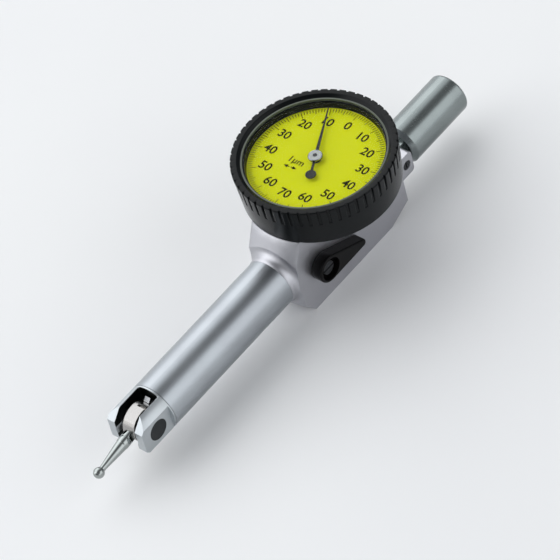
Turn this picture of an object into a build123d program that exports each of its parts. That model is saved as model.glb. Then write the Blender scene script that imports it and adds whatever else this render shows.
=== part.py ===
from build123d import *
from math import acos, atan2, cos, degrees, hypot, pi, radians, sin, sqrt, tan
import os

# Lever-type dial test indicator. Units are millimetres and degrees.
# X runs along the barrel and the stem: the contact point is at -X and the stem at +X.
# Z is up along the axis of the dial, and -Y is the side with the reversing lever.
# The origin is on the flat base of the housing, straight below the centre of the dial.

# Clearances
running_clearance = 0.03
bezel_clearance = 0.08
press_clearance = 0.01
slide_gap = 0.10

# How far a cutting tool runs past a face, and how deep a joined form is sunk
overshoot = 1.0
joint_depth = 0.5

# Axes and stations along X
axis_height = 7.8
pivot_x = -52.35
fork_seam_x = -48.7
tube_seam_x = -17.0
ball_distance = 11.73
contact_droop = 6.85

# Housing block
block_half_width = 5.3
block_front_x = -15.25
block_rear_x = 13.6
block_side_radius = 16.2
cone_foot_height = 12.6
cone_foot_round = 0.4
cone_foot_radius = 16.0
block_top = 16.9
base_chamfer_height = 2.8
base_radius = 14.2
rear_slope_start_x = 8.4
rear_slope_height = 2.15
wall_side = 1.2
wall_front = 1.85
wall_rear = 4.6
floor_thickness = 1.2
cavity_corner_radius = 1.0
cavity_round_wall = 2.7

# Round head of the housing
head_radius = 12.55
head_floor_thickness = 1.0
head_wall = 2.05
head_step_width = 0.7
head_step_depth = 0.6
head_top_gap = 0.22

# Boss that holds the barrel
boss_root_rise = 0.44
boss_neck_rise = 0.22
boss_neck_length = 1.0
boss_flare_rise = 1.12
boss_end_rise = 0.12
seam_chamfer = 0.1
spigot_length = 3.4

# Barrel tube
tube_radius = 4.76
tube_wall = 1.36
tube_spigot_step = 0.81

# Fork head
fork_length = 7.4
fork_flat_depth = 0.86
fork_slot_clearance = 0.22
fork_slot_end_x = -49.1
fork_flat_end_x = -49.0
fork_nose_half_height = 2.1
fork_bore_clearance = 0.18
fork_spigot_length = 4.5
fork_slot_corner = 0.4
bearing_plug_radius = 2.0
bearing_plug_thickness = 1.5
bearing_plug_sink = 0.02

# Stylus
hub_radius = 3.3
hub_half_width = 1.3
hub_chamfer = 0.12
hub_slot_angle = 68.0
hub_slot_width = 0.6
hub_slot_depth = 0.5
hub_slot_near_side = 0.6
ball_radius = 1.0
neck_radius = 0.58
cone_end_distance = 5.5
cone_end_radius = 1.06
collar_start_distance = 4.1
collar_radius = 1.16
collar_bevel = 0.1
cone_land = 0.3
shank_seat_gap = 0.02
thread_end_gap = 0.1
flats_half_width = 0.85
thread_radius = 0.6
thread_depth = 1.6
pivot_pin_radius = 0.6
pivot_pin_half_length = 3.2

# Transmission arm
yoke_thickness = 0.6
yoke_gap = 0.08
yoke_eye_radius = 1.7
yoke_half_height = 1.0
yoke_bridge_length = 1.1
arm_rod_radius = 1.0
arm_flat_length = 2.6
arm_flat_half_width = 0.6
arm_flat_half_height = 0.8
arm_end_overhang = 0.55
drive_pin_radius = 0.35
drive_pin_reach = 1.55
leaf_gap = 0.06
leaf_thickness = 0.2
leaf_half_width = 0.55
leaf_start_angle = -18.0
leaf_end_angle = 46.0
leaf_tip_height = 0.75

# Gear train
gear_module = 0.2
pressure_angle = 20.0
tooth_backlash = 0.05
tooth_clearance = 0.04
sector_teeth_full = 72
sector_teeth_above = 2
sector_teeth_below = 4
crown_pinion_teeth = 8
crown_teeth = 35
centre_pinion_teeth = 10
pointer_turn_travel = 0.14
sector_near_y = -1.35
sector_thickness = 0.5
sector_rim_width = 0.9
sector_hub_wall = 0.3
sector_web_taper = 0.9
crown_pinion_near_y = -1.7
crown_pinion_face = 1.1
crown_face_width = 0.8
crown_disc_thickness = 0.5
crown_windows = 3
crown_rim_wall = 0.3
crown_hub_wall = 0.5
crown_boss_wall = 0.2
crown_boss_height = 0.6
centre_pinion_face = 1.0
arbor_radius = 0.5
arbor_pivot_radius = 0.28
arbor_tip_step = 0.1
arbor_tip_gap = 0.05
bush_radius = 0.9
tail_half_height = 0.95
tail_slot_inner = 0.75
tail_end_wall = 0.35

# Movement plates
side_plate_thickness = 0.6
near_plate_y = -2.0
far_plate_y = 3.2
side_plate_front_x = -10.2
side_plate_rear_x = 3.2
side_plate_drop = 4.2
side_plate_corner = 1.5
side_plate_foot_thickness = 1.0
near_foot_reach = 2.0
far_foot_reach = 1.6
main_plate_gap = 0.1
main_plate_thickness = 1.0
main_screw_edge = 2.0
main_screw_angles = (90, 230, 310)
foot_screw_x = (-6.5, 1.8)
screw_shank_radius = 0.45
screw_head_radius = 0.85
screw_head_height = 0.5
screw_slot_width = 0.2
screw_grip = 0.8
screw_end_gap = 0.05
cock_half_width = 0.6
cock_reach = 2.7
cock_thickness = 0.8
cock_foot_thickness = 0.6
cock_foot_height = 2.2
centre_bush_radius = 1.5
centre_bush_height = 1.9

# Hairspring
collet_radius = 0.9
collet_height = 0.8
collet_slot_width = 0.2
spring_start_radius = 1.2
spring_pitch = 0.3
spring_turns = 5
spring_strip = 0.12
spring_height = 0.35
stud_radius = 0.4

# Bezel, crystal and dial
bezel_gap = 0.14
bezel_height = 7.92
bezel_skirt_wall = 1.43
bezel_top_overhang = 0.02
bezel_wall = 2.02
bezel_shoulder_height = 0.14
bezel_rim_width = 1.03
bezel_rim_inset = 0.12
lip_slope = 0.5
lip_above_crystal = 0.05
crystal_seat_width = 0.27
crystal_depth = 0.5
crystal_thickness = 0.46
crystal_chamfer = 0.1
gasket_wall = 0.3
gasket_above_crystal = 0.03
throat_top_wall = 0.33
throat_wall = 0.53
dial_depth = 1.28
dial_thickness = 0.4
dial_hole_radius = 0.9
clip_height = 0.5
clip_wall = 1.2
clip_gap = 2.0
grip_groove_count = 54
grip_groove_first_angle = 1.25
grip_groove_radius = 0.27
grip_groove_inset = 0.08
grip_plain_height = 4.56
ring_rise = 1.46
ring_half_height = 0.25
ring_depth_in_head = 0.55
ring_reach = 0.4
ring_split_angle = 16
ring_head_gap = 0.05
ring_bezel_gap = 0.1

# Pointer
pointer_angle = 27.0
pointer_tip_gap = 0.7
pointer_eye_wall = 0.25
pointer_root_width = 0.62
pointer_tip_width = 0.16
pointer_thickness = 0.2
pointer_rise = 0.58
hub_disc_radius = 1.3
hub_disc_gap = 0.15
hub_disc_chamfer = 0.1
hub_boss_radius = 0.8
hub_boss_height = 0.3
counterweight_distance = 4.08
counterweight_radius = 0.95
tail_width = 0.42

# Reversing lever
lever_pivot_x = -9.6
lever_pivot_rise = 0.4
lever_end_radius = 2.7
lever_tip_x = -1.0
lever_tip_rise = -1.45
lever_tip_radius = 0.75
lever_standoff = 0.12
lever_thickness = 2.25
lever_recess_radius = 2.2
lever_recess_depth = 1.2
lever_edge_radius = 0.35
lever_shaft_radius = 1.0
lever_neck_radius = 0.7
lever_bush_radius = 1.6
lever_screw_head_radius = 1.3
lever_screw_head_height = 0.6
lever_slot_width = 0.3
crank_radius = 1.35
crank_thickness = 0.4
crank_pin_radius = 0.35
crank_pin_offset = 0.8

# Stem and its swivel
stem_radius = 4.0
stem_shoulder_x = 19.1
stem_end_x = 34.4
stem_end_radius = 0.5
stem_shoulder_chamfer = 0.8
swivel_x = 16.4
ear_end_x = 18.0
ear_outer_half_width = 4.1
ear_inner_half_width = 2.05
ear_half_height = 2.4
ear_corner_radius = 0.8
tongue_half_width = 1.78
tongue_radius = 2.3
swivel_screw_radius = 0.7
swivel_head_radius = 0.93
swivel_head_height = 0.8
swivel_head_sink = 0.15
swivel_slot_width = 0.24
swivel_slot_depth = 0.35
swivel_end_gap = 0.1
head_hole_gap = 0.04
washer_radius = 1.9
washer_gap = 0.02

# Derived sizes
spur_addendum = gear_module
spur_dedendum = gear_module + tooth_clearance
sector_radius = gear_module * sector_teeth_full / 2
crown_pinion_radius = gear_module * crown_pinion_teeth / 2
crown_radius = gear_module * crown_teeth / 2
centre_pinion_radius = gear_module * centre_pinion_teeth / 2
sector_x = -(sector_radius + crown_pinion_radius)
sector_ratio = sector_teeth_full / crown_pinion_teeth
crown_ratio = crown_teeth / centre_pinion_teeth
arm_angle_per_turn = pointer_turn_travel / ball_distance
lever_ratio = 2 * pi / arm_angle_per_turn / (sector_ratio * crown_ratio)
tail_length = (sector_x - pivot_x) / (1 + lever_ratio)
drive_pin_x = sector_x - tail_length
head_floor_top = block_top + head_floor_thickness
main_plate_top = head_floor_top + main_plate_thickness
centre_pinion_bottom = axis_height + crown_radius - centre_pinion_face / 2
cock_top = centre_pinion_bottom - slide_gap
crown_plane_y = centre_pinion_radius
bezel_bore_radius = head_radius + bezel_clearance
bezel_bottom_radius = bezel_bore_radius + bezel_skirt_wall
bezel_radius = bezel_bore_radius + bezel_wall
bezel_rim_radius = bezel_radius - bezel_rim_inset
bezel_lip_radius = bezel_rim_radius - bezel_rim_width
crystal_seat_radius = bezel_bore_radius + crystal_seat_width
throat_top_radius = bezel_bore_radius - throat_top_wall
throat_radius = bezel_bore_radius - throat_wall
bezel_bottom = block_top + bezel_gap
bezel_top = bezel_bottom + bezel_height
crystal_top = bezel_top - crystal_depth
crystal_bottom = crystal_top - crystal_thickness
dial_top = crystal_bottom - dial_depth
dial_bottom = dial_top - dial_thickness
dial_radius = bezel_bore_radius - press_clearance
head_top = dial_bottom - clip_height - head_top_gap
head_bore_radius = head_radius - head_wall
main_plate_radius = head_bore_radius - main_plate_gap
main_screw_circle_radius = main_plate_radius - main_screw_edge
cone_top_radius = bezel_bottom_radius - bezel_top_overhang
grip_groove_centre_radius = bezel_radius - grip_groove_inset
grip_groove_bottom = bezel_bottom + grip_plain_height
ring_middle = bezel_bottom + ring_rise
ring_inner_radius = head_radius - ring_depth_in_head
ring_outer_radius = head_radius + ring_reach
pointer_height = dial_top + pointer_rise
hub_disc_top = crystal_bottom - hub_disc_gap
lever_z = axis_height + lever_pivot_rise
lever_back_y = -(block_half_width + lever_standoff)
lever_front_y = lever_back_y - lever_thickness
fork_nose_x = fork_seam_x - fork_length
tube_bore_radius = tube_radius - tube_wall
tube_spigot_radius = tube_radius - tube_spigot_step
boss_root_radius = tube_radius + boss_root_rise
boss_neck_radius = tube_radius + boss_neck_rise
boss_end_radius = tube_radius + boss_end_rise
yoke_inner_half_width = hub_half_width + yoke_gap
yoke_outer_half_width = yoke_inner_half_width + yoke_thickness
fork_flat_half_width = tube_radius - fork_flat_depth
fork_slot_half_width = yoke_outer_half_width + fork_slot_clearance
fork_bore_radius = hypot(yoke_outer_half_width, yoke_half_height) + fork_bore_clearance
pointer_length = throat_radius - pointer_tip_gap
cavity_half_width = block_half_width - wall_side
outside = 2 * block_half_width


def turned_x(points):
    """Solid of revolution about the barrel axis, from (x, radius) points."""
    face = Plane.XZ * make_face(Polyline(*points, close=True))
    return Pos(0, 0, axis_height) * revolve(face, Axis.X)


def turned_z(points):
    """Solid of revolution about the dial axis, from (radius, z) points."""
    return revolve(Plane.XZ * make_face(Polyline(*points, close=True)), Axis.Z)


def rod_y(radius, y_from, y_to, x, z):
    """Round rod along Y between two stations."""
    length = y_to - y_from
    return Pos(x, (y_from + y_to) / 2, z) * Rot(90, 0, 0) * Cylinder(radius, length)


def rod_z(radius, z_from, z_to, x=0, y=0):
    """Round rod along Z between two heights."""
    return Pos(x, y, (z_from + z_to) / 2) * Cylinder(radius, z_to - z_from)


def block(x_from, x_to, y_from, y_to, z_from, z_to):
    """Rectangular block between its lowest and highest corners."""
    centre = Pos((x_from + x_to) / 2, (y_from + y_to) / 2, (z_from + z_to) / 2)
    return centre * Box(x_to - x_from, y_to - y_from, z_to - z_from)


def plate_y(face_xz, y_from, y_to):
    """Plate of a face drawn in X and Z, standing between two stations along Y."""
    return Pos(0, y_to, 0) * extrude(Plane.XZ * face_xz, y_to - y_from)


def ring_z(outer, inner, z_from, z_to):
    """Flat ring about the dial axis."""
    return rod_z(outer, z_from, z_to) - rod_z(inner, z_from - overshoot, z_to + overshoot)


def slotted_screw(x, y, seat_z):
    """Small cheese-head screw that points down, with its head on seat_z."""
    head = rod_z(screw_head_radius, seat_z, seat_z + screw_head_height, x, y)
    shank = rod_z(screw_shank_radius, seat_z - main_plate_thickness - screw_grip, seat_z, x, y)
    slot_bottom = seat_z + screw_head_height / 2
    slot = block(x - screw_head_radius, x + screw_head_radius, y - screw_slot_width / 2,
                 y + screw_slot_width / 2, slot_bottom, seat_z + screw_head_height)
    return head + shank - slot


def tooth_points(middle, pitch_radius, tip_radius, root_radius):
    """Corner points of one tooth with radial flanks below the pitch circle."""
    half = (pi * gear_module / 2 - tooth_backlash) / 2
    at_pitch = half / pitch_radius
    at_tip = (half - (tip_radius - pitch_radius) * tan(radians(pressure_angle))) / tip_radius
    corners = ((root_radius, -at_pitch), (pitch_radius, -at_pitch), (tip_radius, -at_tip),
               (tip_radius, at_tip), (pitch_radius, at_pitch), (root_radius, at_pitch))
    return [(r * cos(middle + a), r * sin(middle + a)) for r, a in corners]


def spur_face(teeth, first_angle=0.0):
    """Flat outline of a whole spur gear about the origin."""
    pitch_radius = gear_module * teeth / 2
    points = []
    for number in range(teeth):
        middle = first_angle + 2 * pi * number / teeth
        points += tooth_points(middle, pitch_radius, pitch_radius + spur_addendum,
                               pitch_radius - spur_dedendum)
    return make_face(Polyline(*points, close=True))


def save(shape, node):
    """Write one sub-part to its own file."""
    export_step(shape, f"parts/{node}.step")


def make_housing():
    """Slim block with a round head, a boss for the barrel and two ears for the stem."""
    form = turned_z([(0, 0), (base_radius, 0), (block_side_radius, base_chamfer_height),
                     (block_side_radius, cone_foot_height - cone_foot_round),
                     (cone_foot_radius, cone_foot_height),
                     (cone_top_radius, block_top), (0, block_top)])
    bar = block(block_front_x, block_rear_x, -block_half_width, block_half_width, 0, block_top)
    slope_end = block_rear_x + overshoot
    slope_top = rear_slope_height * (slope_end - rear_slope_start_x) / (block_rear_x - rear_slope_start_x)
    slope = make_face(Polyline((rear_slope_start_x, 0), (slope_end, 0), (slope_end, slope_top), close=True))
    body = (form & bar) - plate_y(slope, -outside, outside)
    neck_x = block_front_x - boss_neck_length
    boss_root_x = block_front_x + 2 * joint_depth
    flare = [(neck_x + boss_neck_length * sin(radians(a)),
              boss_neck_radius + boss_flare_rise * (1 - cos(radians(a))))
             for a in range(0, 91, 15)]
    boss = turned_x([(tube_seam_x, 0), (tube_seam_x, boss_end_radius - seam_chamfer),
                     (tube_seam_x + seam_chamfer, boss_end_radius)] + flare
                    + [(block_front_x, boss_root_radius), (boss_root_x, boss_root_radius), (boss_root_x, 0)])
    body += boss & block(tube_seam_x, boss_root_x, -block_half_width, block_half_width, 0, block_top)
    body += rod_z(head_radius, block_top - joint_depth, head_top)
    ear_root_x = block_rear_x - 4 * joint_depth
    ear_face = Rectangle(ear_end_x - ear_root_x, 2 * ear_half_height)
    ear_face = Pos((ear_end_x + ear_root_x) / 2, axis_height) * ear_face
    corners = ear_face.vertices().group_by(Axis.X)[-1]
    ear_face = fillet(corners, ear_corner_radius)
    ears = plate_y(ear_face, -ear_outer_half_width, ear_outer_half_width)
    ears -= block(block_rear_x, ear_end_x + overshoot, -ear_inner_half_width, ear_inner_half_width,
                  axis_height - outside, axis_height + outside)
    body += ears
    cavity_length = block_rear_x - wall_rear - (block_front_x + wall_front)
    cavity = extrude(RectangleRounded(cavity_length, 2 * cavity_half_width, cavity_corner_radius),
                     head_floor_top - floor_thickness)
    cavity_middle = (block_rear_x - wall_rear + block_front_x + wall_front) / 2
    cavity_round = rod_z(block_side_radius - cavity_round_wall, 0, head_top)
    body -= Pos(cavity_middle, 0, floor_thickness) * cavity & cavity_round
    body -= rod_z(head_bore_radius, head_floor_top, head_top + overshoot)
    body -= rod_z(head_radius - head_step_width, head_top - head_step_depth, head_top + overshoot)
    groove_half = ring_half_height + ring_head_gap
    body -= ring_z(head_radius + overshoot, ring_inner_radius - ring_head_gap, ring_middle - groove_half,
                   ring_middle + groove_half)
    bore = tube_spigot_radius + press_clearance
    bore_from = tube_seam_x - overshoot
    bore_to = block_front_x + wall_front + overshoot
    body -= turned_x([(bore_from, 0), (bore_from, bore), (bore_to, bore), (bore_to, 0)])
    body -= rod_y(lever_bush_radius + press_clearance, -outside, -cavity_half_width + overshoot,
                  lever_pivot_x, lever_z)
    body -= rod_y(swivel_screw_radius + press_clearance, -outside, outside, swivel_x, axis_height)
    body -= rod_y(swivel_head_radius + head_hole_gap, -outside, -ear_outer_half_width + swivel_head_height
                  + swivel_head_sink, swivel_x, axis_height)
    for x, y in main_screw_places():
        body -= rod_z(screw_shank_radius + press_clearance, head_floor_top - screw_grip - screw_end_gap,
                      head_floor_top + overshoot, x, y)
    return body


def main_screw_places():
    """Centres of the screws that hold the main plate."""
    return [(main_screw_circle_radius * cos(radians(a)), main_screw_circle_radius * sin(radians(a)))
            for a in main_screw_angles]


def foot_screw_places():
    """Centres of the screws that hold the feet of the two side plates."""
    near_y = near_plate_y - near_foot_reach / 2
    far_y = far_plate_y + side_plate_thickness - far_foot_reach / 2
    return [(x, y) for y in (near_y, far_y) for x in foot_screw_x]


def make_tube():
    """Barrel tube with a spigot that seats in the boss of the housing."""
    spigot_end = tube_seam_x + spigot_length
    body = turned_x([(fork_seam_x, 0), (fork_seam_x, tube_radius), (tube_seam_x, tube_radius),
                     (tube_seam_x, tube_spigot_radius), (spigot_end, tube_spigot_radius), (spigot_end, 0)])
    return body - turned_x([(fork_seam_x - overshoot, 0), (fork_seam_x - overshoot, tube_bore_radius),
                            (spigot_end + overshoot, tube_bore_radius), (spigot_end + overshoot, 0)])


def make_fork():
    """Slotted fork head that carries the stylus between two cheeks."""
    spigot_radius = tube_bore_radius - press_clearance
    spigot_end = fork_seam_x + fork_spigot_length
    cut_x = fork_nose_x - overshoot
    body = turned_x([(fork_nose_x, 0), (fork_nose_x, tube_radius), (fork_seam_x - seam_chamfer, tube_radius),
                     (fork_seam_x, tube_radius - seam_chamfer), (fork_seam_x, spigot_radius),
                     (spigot_end, spigot_radius), (spigot_end, 0)])
    body -= turned_x([(cut_x, 0), (cut_x, fork_bore_radius), (spigot_end + overshoot, fork_bore_radius),
                      (spigot_end + overshoot, 0)])
    reach = tube_radius + overshoot
    for side in (-1, 1):
        outer = sorted((side * fork_flat_half_width, side * reach))
        body -= block(cut_x, fork_flat_end_x, outer[0], outer[1],
                      axis_height - reach, axis_height + reach)
        nose = fork_nose_half_height
        wedge = make_face(Polyline((fork_nose_x, axis_height + side * nose),
                                   (fork_nose_x + reach - nose, axis_height + side * reach),
                                   (cut_x, axis_height + side * reach), (cut_x, axis_height + side * nose),
                                   close=True))
        body -= plate_y(wedge, -reach, reach)
    slot = Box(fork_slot_end_x - cut_x, 2 * fork_slot_half_width, 2 * reach)
    slot = fillet(slot.edges().filter_by(Axis.Z).group_by(Axis.X)[-1], fork_slot_corner)
    body -= Pos((fork_slot_end_x + cut_x) / 2, 0, axis_height) * slot
    return body - rod_y(bearing_plug_radius + press_clearance, -reach, reach, pivot_x, axis_height)


def make_bearing_plugs():
    """Two bearing screws in the cheeks, each with a blind hole for the pivot pin."""
    plugs = []
    for side in (-1, 1):
        outer = side * (fork_flat_half_width - bearing_plug_sink)
        inner = outer - side * bearing_plug_thickness
        y_from, y_to = sorted((outer, inner))
        plug = rod_y(bearing_plug_radius, y_from, y_to, pivot_x, axis_height)
        hole_end = side * (pivot_pin_half_length + slide_gap)
        hole_from, hole_to = sorted((inner - side * overshoot, hole_end))
        plug -= rod_y(pivot_pin_radius + running_clearance, hole_from, hole_to, pivot_x, axis_height)
        plugs.append(plug)
    return Compound(children=plugs)


def make_stylus_hub():
    """Drum that holds the contact point and turns stiffly on the pivot pin."""
    drum = rod_y(hub_radius, -hub_half_width, hub_half_width, 0, 0)
    drum = chamfer(drum.edges().filter_by(GeomType.CIRCLE), hub_chamfer)
    drum -= rod_y(pivot_pin_radius + running_clearance, -outside, outside, 0, 0)
    slot = block(hub_radius - hub_slot_depth, hub_radius + overshoot, -hub_half_width - overshoot,
                 hub_slot_near_side, -hub_slot_width / 2, hub_slot_width / 2)
    drum -= Rot(0, -hub_slot_angle, 0) * slot
    thread = Pos(-hub_radius + (thread_depth - overshoot) / 2, 0, 0) * Rot(0, 90, 0) * Cylinder(
        thread_radius + press_clearance, thread_depth + overshoot)
    drum -= Rot(0, -contact_droop, 0) * thread
    return Pos(pivot_x, 0, axis_height) * drum


def make_contact_stem():
    """Tapered shank of the contact point, with a collar and spanner flats."""
    neck_end = ball_distance - sqrt(ball_radius ** 2 - neck_radius ** 2)
    thread_end = hub_radius - thread_depth + thread_end_gap
    seat = hub_radius + shank_seat_gap
    profile = [(-thread_end, 0), (-thread_end, thread_radius), (-seat, thread_radius),
               (-seat, collar_radius), (-cone_end_distance + collar_bevel, collar_radius),
               (-cone_end_distance, cone_end_radius), (-cone_end_distance - cone_land, cone_end_radius),
               (-neck_end, neck_radius), (-neck_end, 0)]
    shank = revolve(Plane.XZ * make_face(Polyline(*profile, close=True)), Axis.X)
    for side in (-1, 1):
        middle = side * (flats_half_width + collar_radius)
        shank -= Pos(-(hub_radius + collar_start_distance) / 2, middle, 0) * Box(
            collar_start_distance - hub_radius, 2 * collar_radius, 3 * collar_radius)
    return Pos(pivot_x, 0, axis_height) * Rot(0, -contact_droop, 0) * shank


def make_contact_ball():
    """Measuring ball with a flat where it is set on the shank."""
    cut = sqrt(ball_radius ** 2 - neck_radius ** 2)
    ball = Pos(-ball_distance, 0, 0) * Sphere(ball_radius)
    ball -= Pos(-ball_distance + cut + ball_radius, 0, 0) * Box(
        2 * ball_radius, 3 * ball_radius, 3 * ball_radius)
    return Pos(pivot_x, 0, axis_height) * Rot(0, -contact_droop, 0) * ball


def make_pivot_pin():
    """Pin through the yoke and the stylus hub, whose ends run in the bearing plugs."""
    return rod_y(pivot_pin_radius, -pivot_pin_half_length, pivot_pin_half_length, pivot_x, axis_height)


def leaf_outer_radius():
    """Outer radius of the friction leaf where it lies against the hub."""
    return hub_radius + leaf_gap + leaf_thickness


def make_arm():
    """Transmission arm: a yoke round the stylus hub and a rod back to the gear train."""
    bridge_front = pivot_x + leaf_outer_radius()
    bridge_rear = bridge_front + yoke_bridge_length
    outer = yoke_outer_half_width
    cheek = Pos(pivot_x, axis_height) * Circle(yoke_eye_radius)
    cheek += Pos((pivot_x + bridge_rear) / 2, axis_height) * Rectangle(bridge_rear - pivot_x,
                                                                       2 * yoke_half_height)
    body = plate_y(cheek, -outer, -yoke_inner_half_width) + plate_y(cheek, yoke_inner_half_width, outer)
    body += block(bridge_front, bridge_rear, -outer, outer,
                  axis_height - yoke_half_height, axis_height + yoke_half_height)
    rod_end = drive_pin_x + arm_end_overhang - arm_flat_length
    body += turned_x([(bridge_rear - joint_depth, 0), (bridge_rear - joint_depth, arm_rod_radius),
                      (rod_end + joint_depth, arm_rod_radius), (rod_end + joint_depth, 0)])
    body += block(rod_end, drive_pin_x + arm_end_overhang, -arm_flat_half_width, arm_flat_half_width,
                  axis_height - arm_flat_half_height, axis_height + arm_flat_half_height)
    body -= rod_y(pivot_pin_radius + press_clearance, -outside, outside, pivot_x, axis_height)
    return body - rod_y(drive_pin_radius + press_clearance, -outside, outside, drive_pin_x, axis_height)


def make_drive_pin():
    """Cross pin at the end of the arm, which runs in the tail of the sector."""
    return rod_y(drive_pin_radius, -drive_pin_reach, arm_flat_half_width, drive_pin_x, axis_height)


def make_friction_leaf():
    """Leaf spring that presses on the hub and keeps the contact point where it is set."""
    inner = hub_radius + leaf_gap
    outer = leaf_outer_radius()
    start, end = radians(leaf_start_angle), radians(leaf_end_angle)
    middle = (start + end) / 2

    def at(radius, angle):
        return (pivot_x + radius * cos(angle), axis_height + radius * sin(angle))

    tip = end + leaf_thickness / outer
    outline = [ThreePointArc(at(outer, start), at(outer, middle), at(outer, end)),
               Line(at(outer, end), at(outer + leaf_tip_height, end)),
               Line(at(outer + leaf_tip_height, end), at(outer + leaf_tip_height, tip)),
               Line(at(outer + leaf_tip_height, tip), at(inner, tip)),
               ThreePointArc(at(inner, tip), at(inner, middle), at(inner, start)),
               Line(at(inner, start), at(outer, start))]
    return plate_y(make_face(outline), -leaf_half_width, leaf_half_width)


def make_sector():
    """Toothed sector with a forked tail that the drive pin turns."""
    tip_radius = sector_radius + spur_addendum
    root_radius = sector_radius - spur_dedendum
    step = 2 * pi / sector_teeth_full
    numbers = range(-sector_teeth_below, sector_teeth_above)
    points = []
    for number in numbers:
        points += tooth_points((number + 0.5) * step, sector_radius, tip_radius, root_radius)
    low = -(sector_teeth_below + 0.4) * step
    high = (sector_teeth_above + 0.4) * step
    rim = root_radius - sector_rim_width
    outline = [(rim * cos(low), rim * sin(low)), (root_radius * cos(low), root_radius * sin(low))]
    outline += points
    outline += [(root_radius * cos(high), root_radius * sin(high)), (rim * cos(high), rim * sin(high))]
    face = make_face(Polyline(*outline, close=True))
    web_end = sector_rim_width / 4
    face += make_face(Polyline((0, bush_radius), (rim + web_end, high * rim * sector_web_taper),
                               (rim + web_end, low * rim * sector_web_taper), (0, -bush_radius), close=True))
    face += Circle(bush_radius + sector_hub_wall)
    tail_end = tail_length + drive_pin_radius + tail_end_wall
    face += Pos(-tail_end / 2, 0) * Rectangle(tail_end, 2 * tail_half_height)
    slot_start = tail_length - tail_slot_inner
    face -= Pos(-(slot_start + tail_end + overshoot) / 2, 0) * Rectangle(
        tail_end + overshoot - slot_start, 2 * (drive_pin_radius + running_clearance))
    face -= Circle(arbor_radius + press_clearance)
    face = Pos(sector_x, axis_height) * face
    return plate_y(face, sector_near_y, sector_near_y + sector_thickness)


def make_arbor(x, extra=None):
    """Arbor along Y between the side plates, with a pivot at each end."""
    near = near_plate_y + slide_gap
    far = far_plate_y - slide_gap
    body = rod_y(arbor_radius, near, far, x, axis_height)
    body += rod_y(arbor_pivot_radius, near_plate_y - side_plate_thickness + slide_gap,
                  far_plate_y + side_plate_thickness - slide_gap, x, axis_height)
    if extra is not None:
        body += extra
    return body


def make_crown_arbor():
    """Arbor of the crown gear, with its pinion cut in one piece."""
    face = Pos(0, axis_height) * spur_face(crown_pinion_teeth, pi)
    pinion = plate_y(face, crown_pinion_near_y, crown_pinion_near_y + crown_pinion_face)
    return make_arbor(0, pinion)


def make_crown_gear():
    """Crown gear whose teeth stand on the side of its rim and drive the centre pinion."""
    outer = crown_radius + crown_face_width / 2
    inner = crown_radius - crown_face_width / 2
    root_y = crown_plane_y + spur_dedendum
    tip_y = crown_plane_y - spur_addendum
    disc = rod_y(outer, root_y, root_y + crown_disc_thickness, 0, 0)
    window_outer = inner - crown_rim_wall
    window_inner = bush_radius + crown_hub_wall
    window_middle = (window_outer + window_inner) / 2
    window_radius = (window_outer - window_inner) / 2
    for number in range(crown_windows):
        disc -= Rot(0, 360 / crown_windows * number, 0) * rod_y(window_radius, 0, outside, window_middle, 0)
    boss_end_y = root_y + crown_disc_thickness + crown_boss_height
    disc += rod_y(bush_radius + crown_boss_wall, root_y, boss_end_y, 0, 0)
    disc -= rod_y(arbor_radius + press_clearance, 0, outside, 0, 0)
    half = (pi * gear_module / 2 - tooth_backlash) / 2
    slope = tan(radians(pressure_angle))
    tip_half = half - spur_addendum * slope
    root_half = half + spur_dedendum * slope
    root_sink = crown_disc_thickness / 10
    face = make_face(Polyline((-root_half, root_y + root_sink), (root_half, root_y + root_sink),
                              (tip_half, tip_y), (-tip_half, tip_y), close=True))
    tooth = Pos(0, 0, inner) * extrude(face, outer - inner)
    teeth = [Rot(0, 360 * (number + 0.5) / crown_teeth, 0) * tooth for number in range(crown_teeth)]
    rim = disc + teeth
    return Pos(0, 0, axis_height) * rim


def make_centre_arbor():
    """Upright arbor of the pointer, with the centre pinion and two pivots."""
    pinion = Pos(0, 0, centre_pinion_bottom) * extrude(spur_face(centre_pinion_teeth, pi / 2),
                                                       centre_pinion_face)
    body = pinion + rod_z(arbor_radius, centre_pinion_bottom, pointer_height - hub_boss_height)
    body += rod_z(arbor_radius - arbor_tip_step, centre_pinion_bottom, hub_disc_top - arbor_tip_gap)
    body += rod_z(arbor_pivot_radius, cock_top - cock_thickness + slide_gap, centre_pinion_bottom)
    return body


def make_collet():
    """Collet that holds the inner end of the hairspring on the arbor."""
    bottom = main_plate_top + centre_bush_height - main_plate_thickness + slide_gap
    ring = ring_z(collet_radius, arbor_radius + press_clearance, bottom, bottom + collet_height)
    return ring - block(0, collet_radius + overshoot, -collet_slot_width / 2, collet_slot_width / 2,
                        bottom - overshoot, bottom + collet_height + overshoot)


def spring_middle_height():
    """Height of the middle of the hairspring."""
    return main_plate_top + centre_bush_height - main_plate_thickness + slide_gap + collet_height / 2


def make_hairspring():
    """Flat spiral spring of half circles, which takes up the play of the gear train."""
    strip = None
    for number in range(2 * spring_turns):
        side = 1 if number % 2 == 0 else -1
        centre_x = 0 if side == 1 else -spring_pitch / 2
        radius = spring_start_radius + number * spring_pitch / 2
        ring = Circle(radius + spring_strip / 2) - Circle(radius - spring_strip / 2)
        half = Pos(centre_x, 0) * (ring & Pos(0, side * radius) * Rectangle(4 * radius, 2 * radius))
        strip = half if strip is None else strip + half
    return Pos(0, 0, spring_middle_height() - spring_height / 2) * extrude(strip, spring_height)


def spring_end_x():
    """Place along X where the outer end of the hairspring stands."""
    return spring_start_radius + (spring_turns - 1) * spring_pitch


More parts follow.
